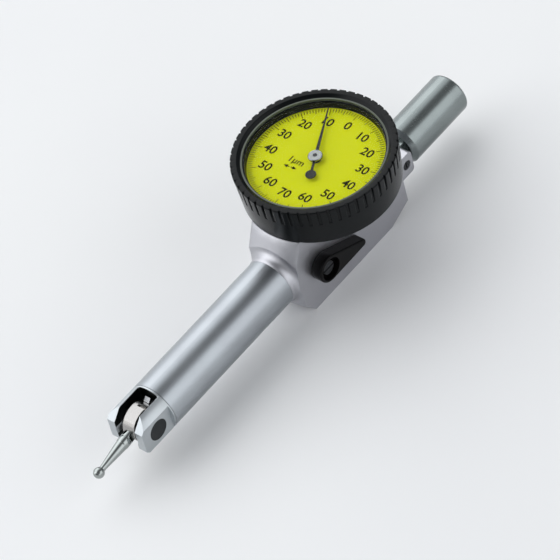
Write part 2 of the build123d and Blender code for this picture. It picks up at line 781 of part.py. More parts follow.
def make_pointer():
    """Needle with a round counterweight on its tail."""
    blade = make_face(Polyline((0, -pointer_root_width / 2), (pointer_length, -pointer_tip_width / 2),
                               (pointer_length, pointer_tip_width / 2), (0, pointer_root_width / 2),
                               close=True))
    blade += Circle(hub_boss_radius + pointer_eye_wall)
    blade += Pos(-counterweight_distance / 2, 0) * Rectangle(counterweight_distance, tail_width)
    blade += Pos(-counterweight_distance, 0) * Circle(counterweight_radius)
    blade -= Circle(hub_boss_radius + press_clearance)
    blade = Rot(0, 0, pointer_angle) * blade
    return Pos(0, 0, pointer_height) * extrude(blade, pointer_thickness)


def make_pointer_hub():
    """Polished hub that clamps the needle on the arbor."""
    disc_bottom = pointer_height + pointer_thickness
    body = rod_z(hub_disc_radius, disc_bottom, hub_disc_top)
    body = chamfer(body.edges().group_by(Axis.Z)[-1], hub_disc_chamfer)
    body += rod_z(hub_boss_radius, pointer_height - hub_boss_height, disc_bottom)
    body -= rod_z(arbor_radius - arbor_tip_step + press_clearance, 0, hub_disc_top + overshoot)
    return body


def make_bezel():
    """Bezel ring with a grip of upright grooves round its upper half."""
    shoulder = bezel_top - bezel_shoulder_height
    throat = crystal_bottom
    lip_bottom = crystal_top + lip_above_crystal
    body = turned_z([(bezel_bore_radius, bezel_bottom), (bezel_bottom_radius, bezel_bottom),
                     (bezel_radius, shoulder), (bezel_rim_radius, bezel_top),
                     (bezel_lip_radius, bezel_top), (bezel_lip_radius - lip_slope, lip_bottom),
                     (crystal_seat_radius, lip_bottom), (crystal_seat_radius, throat),
                     (throat_top_radius, throat), (throat_radius, dial_top + press_clearance),
                     (bezel_bore_radius, dial_top + press_clearance)])
    groove_half = ring_half_height + ring_bezel_gap
    body -= ring_z(ring_outer_radius + ring_bezel_gap, bezel_bore_radius - joint_depth,
                   ring_middle - groove_half, ring_middle + groove_half)
    cutter = rod_z(grip_groove_radius, grip_groove_bottom, bezel_top + overshoot, grip_groove_centre_radius)
    cutters = [Rot(0, 0, grip_groove_first_angle + 360 * number / grip_groove_count) * cutter
               for number in range(grip_groove_count)]
    return body - cutters


def make_gasket():
    """Thin ring that seats the crystal in the bezel."""
    return ring_z(crystal_seat_radius - press_clearance, crystal_seat_radius - gasket_wall,
                  crystal_bottom, crystal_top + gasket_above_crystal)


def make_crystal():
    """Flat clear window over the dial."""
    window = rod_z(crystal_seat_radius - gasket_wall - press_clearance, crystal_bottom, crystal_top)
    return chamfer(window.edges().group_by(Axis.Z)[-1], crystal_chamfer)


def make_dial():
    """Thin round dial plate with a hole for the arbor."""
    return ring_z(dial_radius, dial_hole_radius, dial_bottom, dial_top)


def make_dial_clip():
    """Spring ring below the dial, which holds it against the lip of the bezel."""
    clip = ring_z(dial_radius, dial_radius - clip_wall, dial_bottom - clip_height, dial_bottom)
    return clip - block(0, dial_radius + overshoot, -clip_gap / 2, clip_gap / 2, 0, bezel_top)


def make_bezel_ring():
    """Split ring in the groove of the head, on which the bezel turns."""
    ring = ring_z(ring_outer_radius, ring_inner_radius, ring_middle - ring_half_height,
                  ring_middle + ring_half_height)
    reach = 2 * ring_outer_radius
    half_width = reach * tan(radians(ring_split_angle / 2))
    wedge = make_face(Polyline((0, 0), (reach, half_width), (reach, -half_width), close=True))
    return ring - Pos(0, 0, ring_middle - 2 * ring_half_height) * extrude(wedge, 4 * ring_half_height)


def make_main_plate():
    """Round plate on the floor of the head, which carries the gear train."""
    plate = rod_z(main_plate_radius, head_floor_top, main_plate_top)
    plate -= rod_z(centre_bush_radius + press_clearance, 0, bezel_top)
    for x, y in main_screw_places() + foot_screw_places():
        plate -= rod_z(screw_shank_radius + press_clearance, 0, bezel_top, x, y)
    plate -= rod_z(stud_radius + press_clearance, 0, bezel_top, stud_x(), 0)
    return plate


def stud_x():
    """Place along X of the stud at the outer end of the hairspring."""
    return spring_end_x() + spring_strip / 2 + stud_radius


def make_side_plate(y_from, foot_from, foot_to):
    """Upright plate of the movement, with a foot that is screwed to the main plate."""
    low = axis_height - side_plate_drop
    plate = block(side_plate_front_x, side_plate_rear_x, y_from, y_from + side_plate_thickness,
                  low, head_floor_top)
    plate = fillet(plate.edges().filter_by(Axis.Y).group_by(Axis.Z)[0], side_plate_corner)
    plate += block(side_plate_front_x, side_plate_rear_x, foot_from, foot_to,
                   head_floor_top - side_plate_foot_thickness, head_floor_top)
    for x in (sector_x, 0):
        plate -= rod_y(bush_radius + press_clearance, y_from - overshoot,
                       y_from + side_plate_thickness + overshoot, x, axis_height)
    for x, y in foot_screw_places():
        plate -= rod_z(screw_shank_radius + press_clearance, head_floor_top - screw_grip - screw_end_gap,
                       bezel_top, x, y)
    return plate


def make_arbor_bushes():
    """Four bearing bushes for the two arbors, pressed in the side plates."""
    bushes = []
    for x in (sector_x, 0):
        for y_from in (near_plate_y - side_plate_thickness, far_plate_y):
            bush = rod_y(bush_radius, y_from, y_from + side_plate_thickness, x, axis_height)
            bush -= rod_y(arbor_pivot_radius + running_clearance, y_from - overshoot,
                          y_from + side_plate_thickness + overshoot, x, axis_height)
            bushes.append(bush)
    return Compound(children=bushes)


def make_cock():
    """Small bracket on the near side plate, which holds the lower pivot of the pointer."""
    foot = block(-cock_half_width, cock_half_width, near_plate_y, near_plate_y + cock_foot_thickness,
                 cock_top - cock_thickness, cock_top + cock_foot_height)
    arm = block(-cock_half_width, cock_half_width, near_plate_y, near_plate_y + cock_reach,
                cock_top - cock_thickness, cock_top)
    hole = rod_z(arbor_pivot_radius + running_clearance, cock_top - cock_thickness - overshoot,
                 cock_top + overshoot)
    return foot + arm - hole


def make_centre_bush():
    """Long bush in the main plate, in which the arbor of the pointer turns."""
    bush = ring_z(centre_bush_radius, arbor_radius + running_clearance, head_floor_top,
                  head_floor_top + centre_bush_height)
    return bush


def make_stud():
    """Stud on the main plate that holds the outer end of the hairspring."""
    return rod_z(stud_radius, head_floor_top, spring_middle_height() + spring_height, stud_x(), 0)


def lever_outline():
    """Tear-drop outline of the reversing lever, in X and Z about its pivot."""
    dx = lever_tip_x - lever_pivot_x
    dz = lever_tip_rise - lever_pivot_rise
    distance = hypot(dx, dz)
    aim = atan2(dz, dx)
    lean = acos((lever_end_radius - lever_tip_radius) / distance)

    def big(angle):
        return (lever_end_radius * cos(angle), lever_end_radius * sin(angle))

    def tip(angle):
        return (dx + lever_tip_radius * cos(angle), dz + lever_tip_radius * sin(angle))

    upper, lower = aim + lean, aim - lean
    return make_face([ThreePointArc(big(upper), big(aim + pi), big(lower)),
                      Line(big(lower), tip(lower)),
                      ThreePointArc(tip(lower), tip(aim), tip(upper)),
                      Line(tip(upper), big(upper))])


def make_lever():
    """Tear-drop reversing lever with a round recess over its pivot."""
    face = Pos(lever_pivot_x, lever_z) * lever_outline()
    body = plate_y(face, lever_front_y, lever_back_y)
    body = fillet(body.faces().sort_by(Axis.Y)[0].edges(), lever_edge_radius)
    body -= rod_y(lever_recess_radius, lever_front_y - overshoot, lever_front_y + lever_recess_depth,
                  lever_pivot_x, lever_z)
    return body - rod_y(lever_neck_radius + press_clearance, lever_front_y, 0, lever_pivot_x, lever_z)


def make_lever_screw():
    """Screw in the recess that holds the lever on its shaft."""
    seat = lever_front_y + lever_recess_depth
    head = rod_y(lever_screw_head_radius, seat - lever_screw_head_height, seat, lever_pivot_x, lever_z)
    slot = block(lever_pivot_x - lever_recess_radius, lever_pivot_x + lever_recess_radius,
                 seat - lever_screw_head_height - overshoot, seat - lever_screw_head_height / 2,
                 lever_z - lever_slot_width / 2, lever_z + lever_slot_width / 2)
    return head - slot


def make_lever_shaft():
    """Shaft of the lever through the side wall, with a crank pin inside."""
    crank_back = -cavity_half_width + slide_gap
    body = rod_y(lever_shaft_radius, lever_back_y, crank_back, lever_pivot_x, lever_z)
    body += rod_y(lever_neck_radius, lever_front_y + lever_recess_depth, lever_back_y,
                  lever_pivot_x, lever_z)
    body += rod_y(crank_radius, crank_back, crank_back + crank_thickness, lever_pivot_x, lever_z)
    pin_end = near_plate_y - side_plate_thickness - 2 * slide_gap
    return body + rod_y(crank_pin_radius, crank_back, pin_end, lever_pivot_x, lever_z + crank_pin_offset)


def make_lever_bush():
    """Bearing bush of the lever, pressed in the side wall."""
    bush = rod_y(lever_bush_radius, -block_half_width - lever_standoff / 2, -cavity_half_width,
                 lever_pivot_x, lever_z)
    return bush - rod_y(lever_shaft_radius + running_clearance, -outside, 0, lever_pivot_x, lever_z)


def make_stem():
    """Mounting stem with a flat tongue that swivels between the ears of the housing."""
    stem = turned_x([(stem_shoulder_x, 0), (stem_shoulder_x, stem_radius), (stem_end_x, stem_radius),
                     (stem_end_x, 0)])
    stem = fillet(stem.edges().filter_by(GeomType.CIRCLE).group_by(Axis.X)[-1], stem_end_radius)
    stem = chamfer(stem.edges().filter_by(GeomType.CIRCLE).group_by(Axis.X)[0], stem_shoulder_chamfer)
    face = Pos(swivel_x, axis_height) * Circle(tongue_radius)
    root_x = stem_shoulder_x + joint_depth
    face += Pos((swivel_x + root_x) / 2, axis_height) * Rectangle(root_x - swivel_x, 2 * tongue_radius)
    stem += plate_y(face, -tongue_half_width, tongue_half_width)
    return stem - rod_y(swivel_screw_radius + running_clearance, -outside, outside, swivel_x, axis_height)


def make_swivel_screw():
    """Cross screw that clamps the tongue of the stem between the ears."""
    head_outer = -ear_outer_half_width + swivel_head_sink
    head_inner = head_outer + swivel_head_height
    body = rod_y(swivel_head_radius, head_outer, head_inner, swivel_x, axis_height)
    body += rod_y(swivel_screw_radius, head_inner, ear_outer_half_width - swivel_end_gap,
                  swivel_x, axis_height)
    slot = block(swivel_x - swivel_slot_width / 2, swivel_x + swivel_slot_width / 2, head_outer - overshoot,
                 head_outer + swivel_slot_depth, axis_height - swivel_head_radius,
                 axis_height + swivel_head_radius)
    return body - slot


def make_washers():
    """Two thin friction washers beside the tongue."""
    washers = []
    for side in (-1, 1):
        y_from, y_to = sorted((side * (tongue_half_width + washer_gap), side * (ear_inner_half_width)))
        washer = rod_y(washer_radius, y_from, y_to, swivel_x, axis_height)
        washer -= rod_y(swivel_screw_radius + running_clearance, y_from - overshoot, y_to + overshoot,
                        swivel_x, axis_height)
        washers.append(washer)
    return Compound(children=washers)


def main():
    """Build every piece and write one file for each."""
    os.makedirs("parts", exist_ok=True)
    main_screws = [slotted_screw(x, y, main_plate_top) for x, y in main_screw_places()]
    foot_screws = [slotted_screw(x, y, main_plate_top) for x, y in foot_screw_places()]
    near_outer = near_plate_y - side_plate_thickness
    far_outer = far_plate_y + side_plate_thickness
    pieces = {
        "housing": make_housing(),
        "barrel_tube": make_tube(),
        "fork_head": make_fork(),
        "pivot_bearing_screws": make_bearing_plugs(),
        "pivot_pin": make_pivot_pin(),
        "transmission_arm": make_arm(),
        "drive_pin": make_drive_pin(),
        "friction_leaf": make_friction_leaf(),
        "stylus_hub": make_stylus_hub(),
        "contact_stem": make_contact_stem(),
        "contact_ball": make_contact_ball(),
        "sector_gear": make_sector(),
        "sector_arbor": make_arbor(sector_x),
        "crown_arbor": make_crown_arbor(),
        "crown_gear": make_crown_gear(),
        "pointer_arbor": make_centre_arbor(),
        "hairspring_collet": make_collet(),
        "hairspring": make_hairspring(),
        "hairspring_stud": make_stud(),
        "pointer": make_pointer(),
        "pointer_hub": make_pointer_hub(),
        "bezel": make_bezel(),
        "crystal_gasket": make_gasket(),
        "crystal": make_crystal(),
        "dial_plate": make_dial(),
        "dial_clip": make_dial_clip(),
        "bezel_retaining_ring": make_bezel_ring(),
        "main_plate": make_main_plate(),
        "main_plate_screws": Compound(children=main_screws),
        "near_side_plate": make_side_plate(near_outer, near_plate_y - near_foot_reach, near_plate_y),
        "far_side_plate": make_side_plate(far_plate_y, far_outer - far_foot_reach, far_outer),
        "side_plate_screws": Compound(children=foot_screws),
        "arbor_bushes": make_arbor_bushes(),
        "centre_cock": make_cock(),
        "centre_bush": make_centre_bush(),
        "reversing_lever": make_lever(),
        "lever_screw": make_lever_screw(),
        "lever_shaft": make_lever_shaft(),
        "lever_bush": make_lever_bush(),
        "stem": make_stem(),
        "swivel_screw": make_swivel_screw(),
        "swivel_washers": make_washers(),
    }
    for node, shape in pieces.items():
        save(shape, node)
    print("lever ratio", round(lever_ratio, 4), "tail", round(tail_length, 4), "pin x", round(drive_pin_x, 3))


main()
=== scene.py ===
"""Looks of a lever-type dial test indicator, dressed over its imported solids.

The row frame is in metres, with +X along the barrel towards the stem, +Z out of the dial and -Y on
the side of the reversing lever. Sizes in the classes are millimetres, and MM turns them into metres.
"""

import logging
import math
from dataclasses import dataclass
from enum import Enum
from functools import cache

import bmesh
import bpy
import numpy as np
from mathutils import Matrix, Vector


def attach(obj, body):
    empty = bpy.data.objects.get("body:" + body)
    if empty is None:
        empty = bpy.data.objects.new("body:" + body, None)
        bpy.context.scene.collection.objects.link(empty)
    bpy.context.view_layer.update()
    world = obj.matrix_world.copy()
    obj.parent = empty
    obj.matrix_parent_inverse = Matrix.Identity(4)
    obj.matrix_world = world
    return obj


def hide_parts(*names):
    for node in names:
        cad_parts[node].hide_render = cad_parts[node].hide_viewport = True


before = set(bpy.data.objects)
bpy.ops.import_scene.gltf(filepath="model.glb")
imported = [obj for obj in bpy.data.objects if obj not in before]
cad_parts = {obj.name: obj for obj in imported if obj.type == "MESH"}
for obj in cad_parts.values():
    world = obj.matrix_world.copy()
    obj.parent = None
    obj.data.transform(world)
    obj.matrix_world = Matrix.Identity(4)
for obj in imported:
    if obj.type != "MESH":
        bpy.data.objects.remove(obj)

Tree = bpy.types.NodeTree
Node = bpy.types.Node
Socket = bpy.types.NodeSocket
Sockets = bpy.types.bpy_prop_collection
Piece = bpy.types.Object

MM = 0.001
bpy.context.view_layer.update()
log = logging.getLogger("indicator")


class Body(Enum):
    """Rigid bodies that the new pieces ride on."""

    BEZEL = "bezel_group"
    STYLUS = "stylus"


class Slot(Enum):
    """Material slots of the record, which the new pieces name but which nothing applies."""

    BEZEL = "black_bezel"
    DIAL = "dial_yellow"
    POLISHED = "polished_steel"


class Shape(Enum):
    """How a surface grid closes on itself."""

    OPEN = "open"
    ROUND = "round"
    TORUS = "torus"


class Effects:
    """Shader node groups that several finishes share, each built once, and the nodes they need."""

    FINE_DETAIL = 3.0
    FINE_ROUGHNESS = 0.6
    SLOW_DETAIL = 2.0
    SLOW_SCALE = 140.0
    CLOUD_DETAIL = 4.0
    CLOUD_LOW = 0.36
    CLOUD_HIGH = 0.64
    MARK_DETAIL = 2.0
    KINDS = {"Vector": "Vector", "Stretch": "Vector", "Color": "Color", "Other": "Color", "Painted Shade": "Color"}
    MIX_FACTOR = 0
    MIX_FIRST = 6
    MIX_SECOND = 7
    MIX_RESULT = 2

    @classmethod
    def _start(cls, name: str, inputs: tuple[str, ...], *outputs: str) -> tuple[Tree, Sockets, Sockets]:
        """Makes an empty group with named sockets.

        Args:
            name: name of the group.
            inputs: names of its input sockets.
            outputs: names of its output sockets.

        Returns:
            The new node tree, the sockets that bring its inputs and those that take its outputs.
        """
        tree = bpy.data.node_groups.new(name, "ShaderNodeTree")
        for side, sockets in (("INPUT", inputs), ("OUTPUT", outputs)):
            for socket in sockets:
                kind = "NodeSocket" + cls.KINDS.get(socket, "Float")
                tree.interface.new_socket(name=socket, in_out=side, socket_type=kind)
        return tree, tree.nodes.new("NodeGroupInput").outputs, tree.nodes.new("NodeGroupOutput").inputs

    @classmethod
    @cache
    def grain(cls) -> Tree:
        """Fine surface grain.

        Returns:
            A group whose Height is a fine noise, and whose Roughness is the base value with a
            slow and a fine variation added.
        """
        inputs = ("Vector", "Scale", "Roughness", "Spread")
        tree, source, sink = cls._start("fine_grain", inputs, "Height", "Roughness")
        fine = cls._noise(tree, source["Vector"], source["Scale"], cls.FINE_DETAIL)
        fine.inputs["Roughness"].default_value = cls.FINE_ROUGHNESS
        slow = tree.nodes.new("ShaderNodeTexNoise")
        slow.inputs["Scale"].default_value = cls.SLOW_SCALE
        slow.inputs["Detail"].default_value = cls.SLOW_DETAIL
        tree.links.new(source["Vector"], slow.inputs["Vector"])
        both = cls.calculate(tree, "ADD", fine.outputs["Fac"], slow.outputs["Fac"])
        centred = cls.calculate(tree, "SUBTRACT", both, 1.0)
        spread = cls.calculate(tree, "MULTIPLY", centred, source["Spread"])
        total = cls.calculate(tree, "ADD", spread, source["Roughness"])
        tree.links.new(fine.outputs["Fac"], sink["Height"])
        tree.links.new(total, sink["Roughness"])
        return tree

    @classmethod
    @cache
    def tone(cls) -> Tree:
        """Slow change of tone over a surface.

        Returns:
            A group whose Color runs from Color to Other by a soft cloud of the given scale.
        """
        tree, source, sink = cls._start("slow_tone", ("Vector", "Scale", "Color", "Other"), "Color")
        cloud = cls._noise(tree, source["Vector"], source["Scale"], cls.CLOUD_DETAIL)
        share = cls.fade(tree, cloud.outputs["Fac"], cls.CLOUD_LOW, cls.CLOUD_HIGH)
        tree.links.new(cls._blend(tree, share, source["Color"], source["Other"]), sink["Color"])
        return tree

    @classmethod
    @cache
    def lines(cls) -> Tree:
        """Fine tool marks along one direction.

        Returns:
            A group whose Height is a noise drawn out by the Stretch vector, as turning or
            grinding leaves it.
        """
        tree, source, sink = cls._start("tool_lines", ("Vector", "Stretch", "Scale"), "Height")
        drawn = cls.calculate(tree, "MULTIPLY", source["Vector"], source["Stretch"], vector=True)
        noise = cls._noise(tree, drawn, source["Scale"], cls.MARK_DETAIL)
        tree.links.new(noise.outputs["Fac"], sink["Height"])
        return tree

    @classmethod
    @cache
    def rings(cls) -> Tree:
        """Fine turning marks round the Z axis.

        Returns:
            A group whose Height is a noise of the distance from the axis, as a lathe leaves it.
        """
        tree, source, sink = cls._start("turned_rings", ("Vector", "Scale"), "Height")
        flat = cls.calculate(tree, "MULTIPLY", source["Vector"], (1.0, 1.0, 0.0), vector=True)
        away = cls.calculate(tree, "LENGTH", flat, vector=True)
        noise = cls._noise(tree, away, source["Scale"], cls.MARK_DETAIL, "1D")
        tree.links.new(noise.outputs["Fac"], sink["Height"])
        return tree

    # Painted shade: this group paints a dark colour on the walls of the slot, where shade falls inside it.
    @classmethod
    @cache
    def slot(cls) -> Tree:
        """Darker colour on the walls of a slot across a round bar.

        Returns:
            A group whose Color is its painted shade input, a dark colour that stands for the shade on the
            slot's walls, where the sideways distance from the middle plane is less than Half Width and the
            distance from the bar's axis, which runs along X at Height, is less than Radius. It is Color
            elsewhere.
        """
        inputs = ("Vector", "Half Width", "Radius", "Height", "Color", "Painted Shade")
        tree, source, sink = cls._start("slot_painted_shade", inputs, "Color")
        split = tree.nodes.new("ShaderNodeSeparateXYZ")
        tree.links.new(source["Vector"], split.inputs[0])
        away = cls.calculate(tree, "ABSOLUTE", split.outputs["Y"])
        between = cls.calculate(tree, "LESS_THAN", away, source["Half Width"])
        rise = cls.calculate(tree, "SUBTRACT", split.outputs["Z"], source["Height"])
        squares = [cls.calculate(tree, "POWER", side, 2.0) for side in (away, rise)]
        reach = cls.calculate(tree, "SQRT", cls.calculate(tree, "ADD", *squares))
        below = cls.calculate(tree, "LESS_THAN", reach, source["Radius"])
        inside = cls.calculate(tree, "MULTIPLY", between, below)
        tree.links.new(cls._blend(tree, inside, source["Color"], source["Painted Shade"]), sink["Color"])
        return tree

    @staticmethod
    def placed(tree: Tree, group: Tree, place: Socket, values: dict[str, object]) -> Node:
        """Places a shared group in a material.

        Args:
            tree: node tree of the material.
            group: the shared group.
            place: socket with the coordinates.
            values: socket name to the value that it gets here.

        Returns:
            The group node.
        """
        node = tree.nodes.new("ShaderNodeGroup")
        node.node_tree = group
        tree.links.new(place, node.inputs["Vector"])
        for socket, value in values.items():
            node.inputs[socket].default_value = value
        return node

    @staticmethod
    def calculate(tree: Tree, operation: str, *values: object, vector: bool = False) -> Socket:
        """Adds a math node.

        Args:
            tree: the tree that takes the node.
            operation: name of the operation.
            values: sockets, numbers or vectors that it works on.
            vector: whether it works on vectors.

        Returns:
            The socket with the result.
        """
        node = tree.nodes.new("ShaderNodeVectorMath" if vector else "ShaderNodeMath")
        node.operation = operation
        for socket, value in zip(node.inputs, values):
            if isinstance(value, Socket):
                tree.links.new(value, socket)
            else:
                socket.default_value = value
        return node.outputs["Value"] if operation in ("LENGTH", "DOT_PRODUCT") else node.outputs[0]

    @staticmethod
    def _noise(tree: Tree, place: Socket, scale: Socket, detail: float, dimensions: str = "3D") -> Node:
        """Adds a noise.

        Args:
            tree: the tree that takes the node.
            place: socket with the coordinates, which is one number for a 1D noise.
            scale: socket with the scale.
            detail: how many finer layers it has.
            dimensions: 1D or 3D.

        Returns:
            The node.
        """
        node = tree.nodes.new("ShaderNodeTexNoise")
        node.noise_dimensions = dimensions
        node.inputs["Detail"].default_value = detail
        tree.links.new(scale, node.inputs["Scale"])
        tree.links.new(place, node.inputs["W" if dimensions == "1D" else "Vector"])
        return node

    @classmethod
    def _blend(cls, tree: Tree, share: Socket, first: Socket, second: Socket) -> Socket:
        """Adds a mix of two colours.

        Args:
            tree: the tree that takes the node.
            share: socket with the share of the second colour.
            first: socket with the first colour.
            second: socket with the second colour.

        Returns:
            The socket with the mixed colour.
        """
        node = tree.nodes.new("ShaderNodeMix")
        node.data_type = "RGBA"
        tree.links.new(share, node.inputs[cls.MIX_FACTOR])
        tree.links.new(first, node.inputs[cls.MIX_FIRST])
        tree.links.new(second, node.inputs[cls.MIX_SECOND])
        return node.outputs[cls.MIX_RESULT]

    @staticmethod
    def fade(
        tree: Tree, value: Socket, low: float, high: float, start: float = 0.0, end: float = 1.0
    ) -> Socket:
        """Adds a smooth step.

        Args:
            tree: the tree that takes the node.
            value: socket that drives the step.
            low: value at which the step starts.
            high: value at which it ends.
            start: result below low.
            end: result above high.

        Returns:
            The output socket.
        """
        node = tree.nodes.new("ShaderNodeMapRange")
        node.interpolation_type = "SMOOTHSTEP"
        for socket, number in (("From Min", low), ("From Max", high), ("To Min", start), ("To Max", end)):
            node.inputs[socket].default_value = number
        tree.links.new(value, node.inputs["Value"])
        return node.outputs["Result"]


@dataclass(frozen=True)
class Finish:
    """A surface finish made of the shared effects round one Principled shader.

    The colour drifts slowly between two tones, the roughness varies round its base value, and a
    fine grain, and tool marks where stretch is set, feed the bump.
    """

    name: str
    colour: tuple[float, float, float]
    other: tuple[float, float, float]
    metallic: float = 1.0
    roughness: float = 0.3
    spread: float = 0.08
    grain_scale: float = 2500.0
    grain_depth: float = 0.002
    tone_scale: float = 90.0
    stretch: tuple[float, float, float] | None = None
    line_scale: float = 400.0
    line_depth: float = 0.0
    ring_scale: float = 0.0
    specular: float = 0.5
    # Painted shade: these set where a dark colour is painted on a slot's walls, where shade falls, and which
    # colour it is.
    inner_half_width: float = 0.0
    inner_radius: float = 0.0
    inner_height: float = 0.0
    inner_colour: tuple[float, float, float] = (0.0, 0.0, 0.0)

    def material(self) -> bpy.types.Material:
        """Builds the material."""
        made = bpy.data.materials.new(self.name)
        made.use_nodes = True
        tree = made.node_tree
        shader = tree.nodes["Principled BSDF"]
        shader.inputs["Metallic"].default_value = self.metallic
        shader.inputs["Specular IOR Level"].default_value = self.specular
        place = tree.nodes.new("ShaderNodeTexCoord").outputs["Object"]
        values = {"Scale": self.grain_scale, "Roughness": self.roughness, "Spread": self.spread}
        grain = Effects.placed(tree, Effects.grain(), place, values)
        tree.links.new(self._colour(tree, place), shader.inputs["Base Color"])
        tree.links.new(grain.outputs["Roughness"], shader.inputs["Roughness"])
        tree.links.new(self._normal(tree, place, grain.outputs["Height"]), shader.inputs["Normal"])
        return made

    def _colour(self, tree: Tree, place: Socket) -> Socket:
        """Adds the two tones, and the inner colour where the finish has one.

        Args:
            tree: node tree of the material.
            place: socket with the coordinates.

        Returns:
            The socket with the colour.
        """
        values = {"Scale": self.tone_scale, "Color": (*self.colour, 1.0), "Other": (*self.other, 1.0)}
        colour = Effects.placed(tree, Effects.tone(), place, values).outputs["Color"]
        # Painted shade: the slot's walls take a dark colour that stands for the shade inside the slot.
        if self.inner_half_width > 0:
            values = {
                "Half Width": self.inner_half_width * MM,
                "Radius": self.inner_radius * MM,
                "Height": self.inner_height * MM,
                "Painted Shade": (*self.inner_colour, 1.0),
            }
            slot = Effects.placed(tree, Effects.slot(), place, values)
            tree.links.new(colour, slot.inputs["Color"])
            colour = slot.outputs["Color"]
        return colour

    def _normal(self, tree: Tree, place: Socket, height: Socket) -> Socket:
        """Adds the grain's bump, over that of the tool marks where the finish has any.

        Args:
            tree: node tree of the material.
            place: socket with the coordinates.
            height: socket with the grain's height.

        Returns:
            The socket with the normal.
        """
        bump = tree.nodes.new("ShaderNodeBump")
        bump.inputs["Distance"].default_value = self.grain_depth * MM
        tree.links.new(height, bump.inputs["Height"])
        marks = None
        if self.stretch is not None:
            values = {"Stretch": self.stretch, "Scale": self.line_scale}
            marks = Effects.placed(tree, Effects.lines(), place, values)
        elif self.ring_scale > 0:
            marks = Effects.placed(tree, Effects.rings(), place, {"Scale": self.ring_scale})
        if marks is not None:
            under = tree.nodes.new("ShaderNodeBump")
            under.inputs["Distance"].default_value = self.line_depth * MM
            tree.links.new(marks.outputs["Height"], under.inputs["Height"])
            tree.links.new(under.outputs["Normal"], bump.inputs["Normal"])
        return bump.outputs["Normal"]


@dataclass(frozen=True)
class ClearCrystal:
    """Thin clear window: it lets light through and reflects more at a slant."""

    name: str = "crystal_clear"
    colour: tuple[float, float, float] = (0.04, 0.045, 0.045)
    roughness: float = 0.03
    spread: float = 0.02
    grain_scale: float = 300.0
    index: float = 1.46
    slant_blend: float = 0.12
    least_alpha: float = 0.01
    most_alpha: float = 0.4

    def material(self) -> bpy.types.Material:
        """Builds the material."""
        made = bpy.data.materials.new(self.name)
        made.use_nodes = True
        tree = made.node_tree
        shader = tree.nodes["Principled BSDF"]
        shader.inputs["Base Color"].default_value = (*self.colour, 1.0)
        shader.inputs["Metallic"].default_value = 0.0
        shader.inputs["IOR"].default_value = self.index
        place = tree.nodes.new("ShaderNodeTexCoord").outputs["Object"]
        values = {"Scale": self.grain_scale, "Roughness": self.roughness, "Spread": self.spread}
        grain = Effects.placed(tree, Effects.grain(), place, values)
        tree.links.new(grain.outputs["Roughness"], shader.inputs["Roughness"])
        slant = tree.nodes.new("ShaderNodeLayerWeight")
        slant.inputs["Blend"].default_value = self.slant_blend
        rise = tree.nodes.new("ShaderNodeMapRange")
        rise.inputs["To Min"].default_value = self.least_alpha
        rise.inputs["To Max"].default_value = self.most_alpha
        tree.links.new(slant.outputs["Facing"], rise.inputs["Value"])
        tree.links.new(rise.outputs["Result"], shader.inputs["Alpha"])
        return made


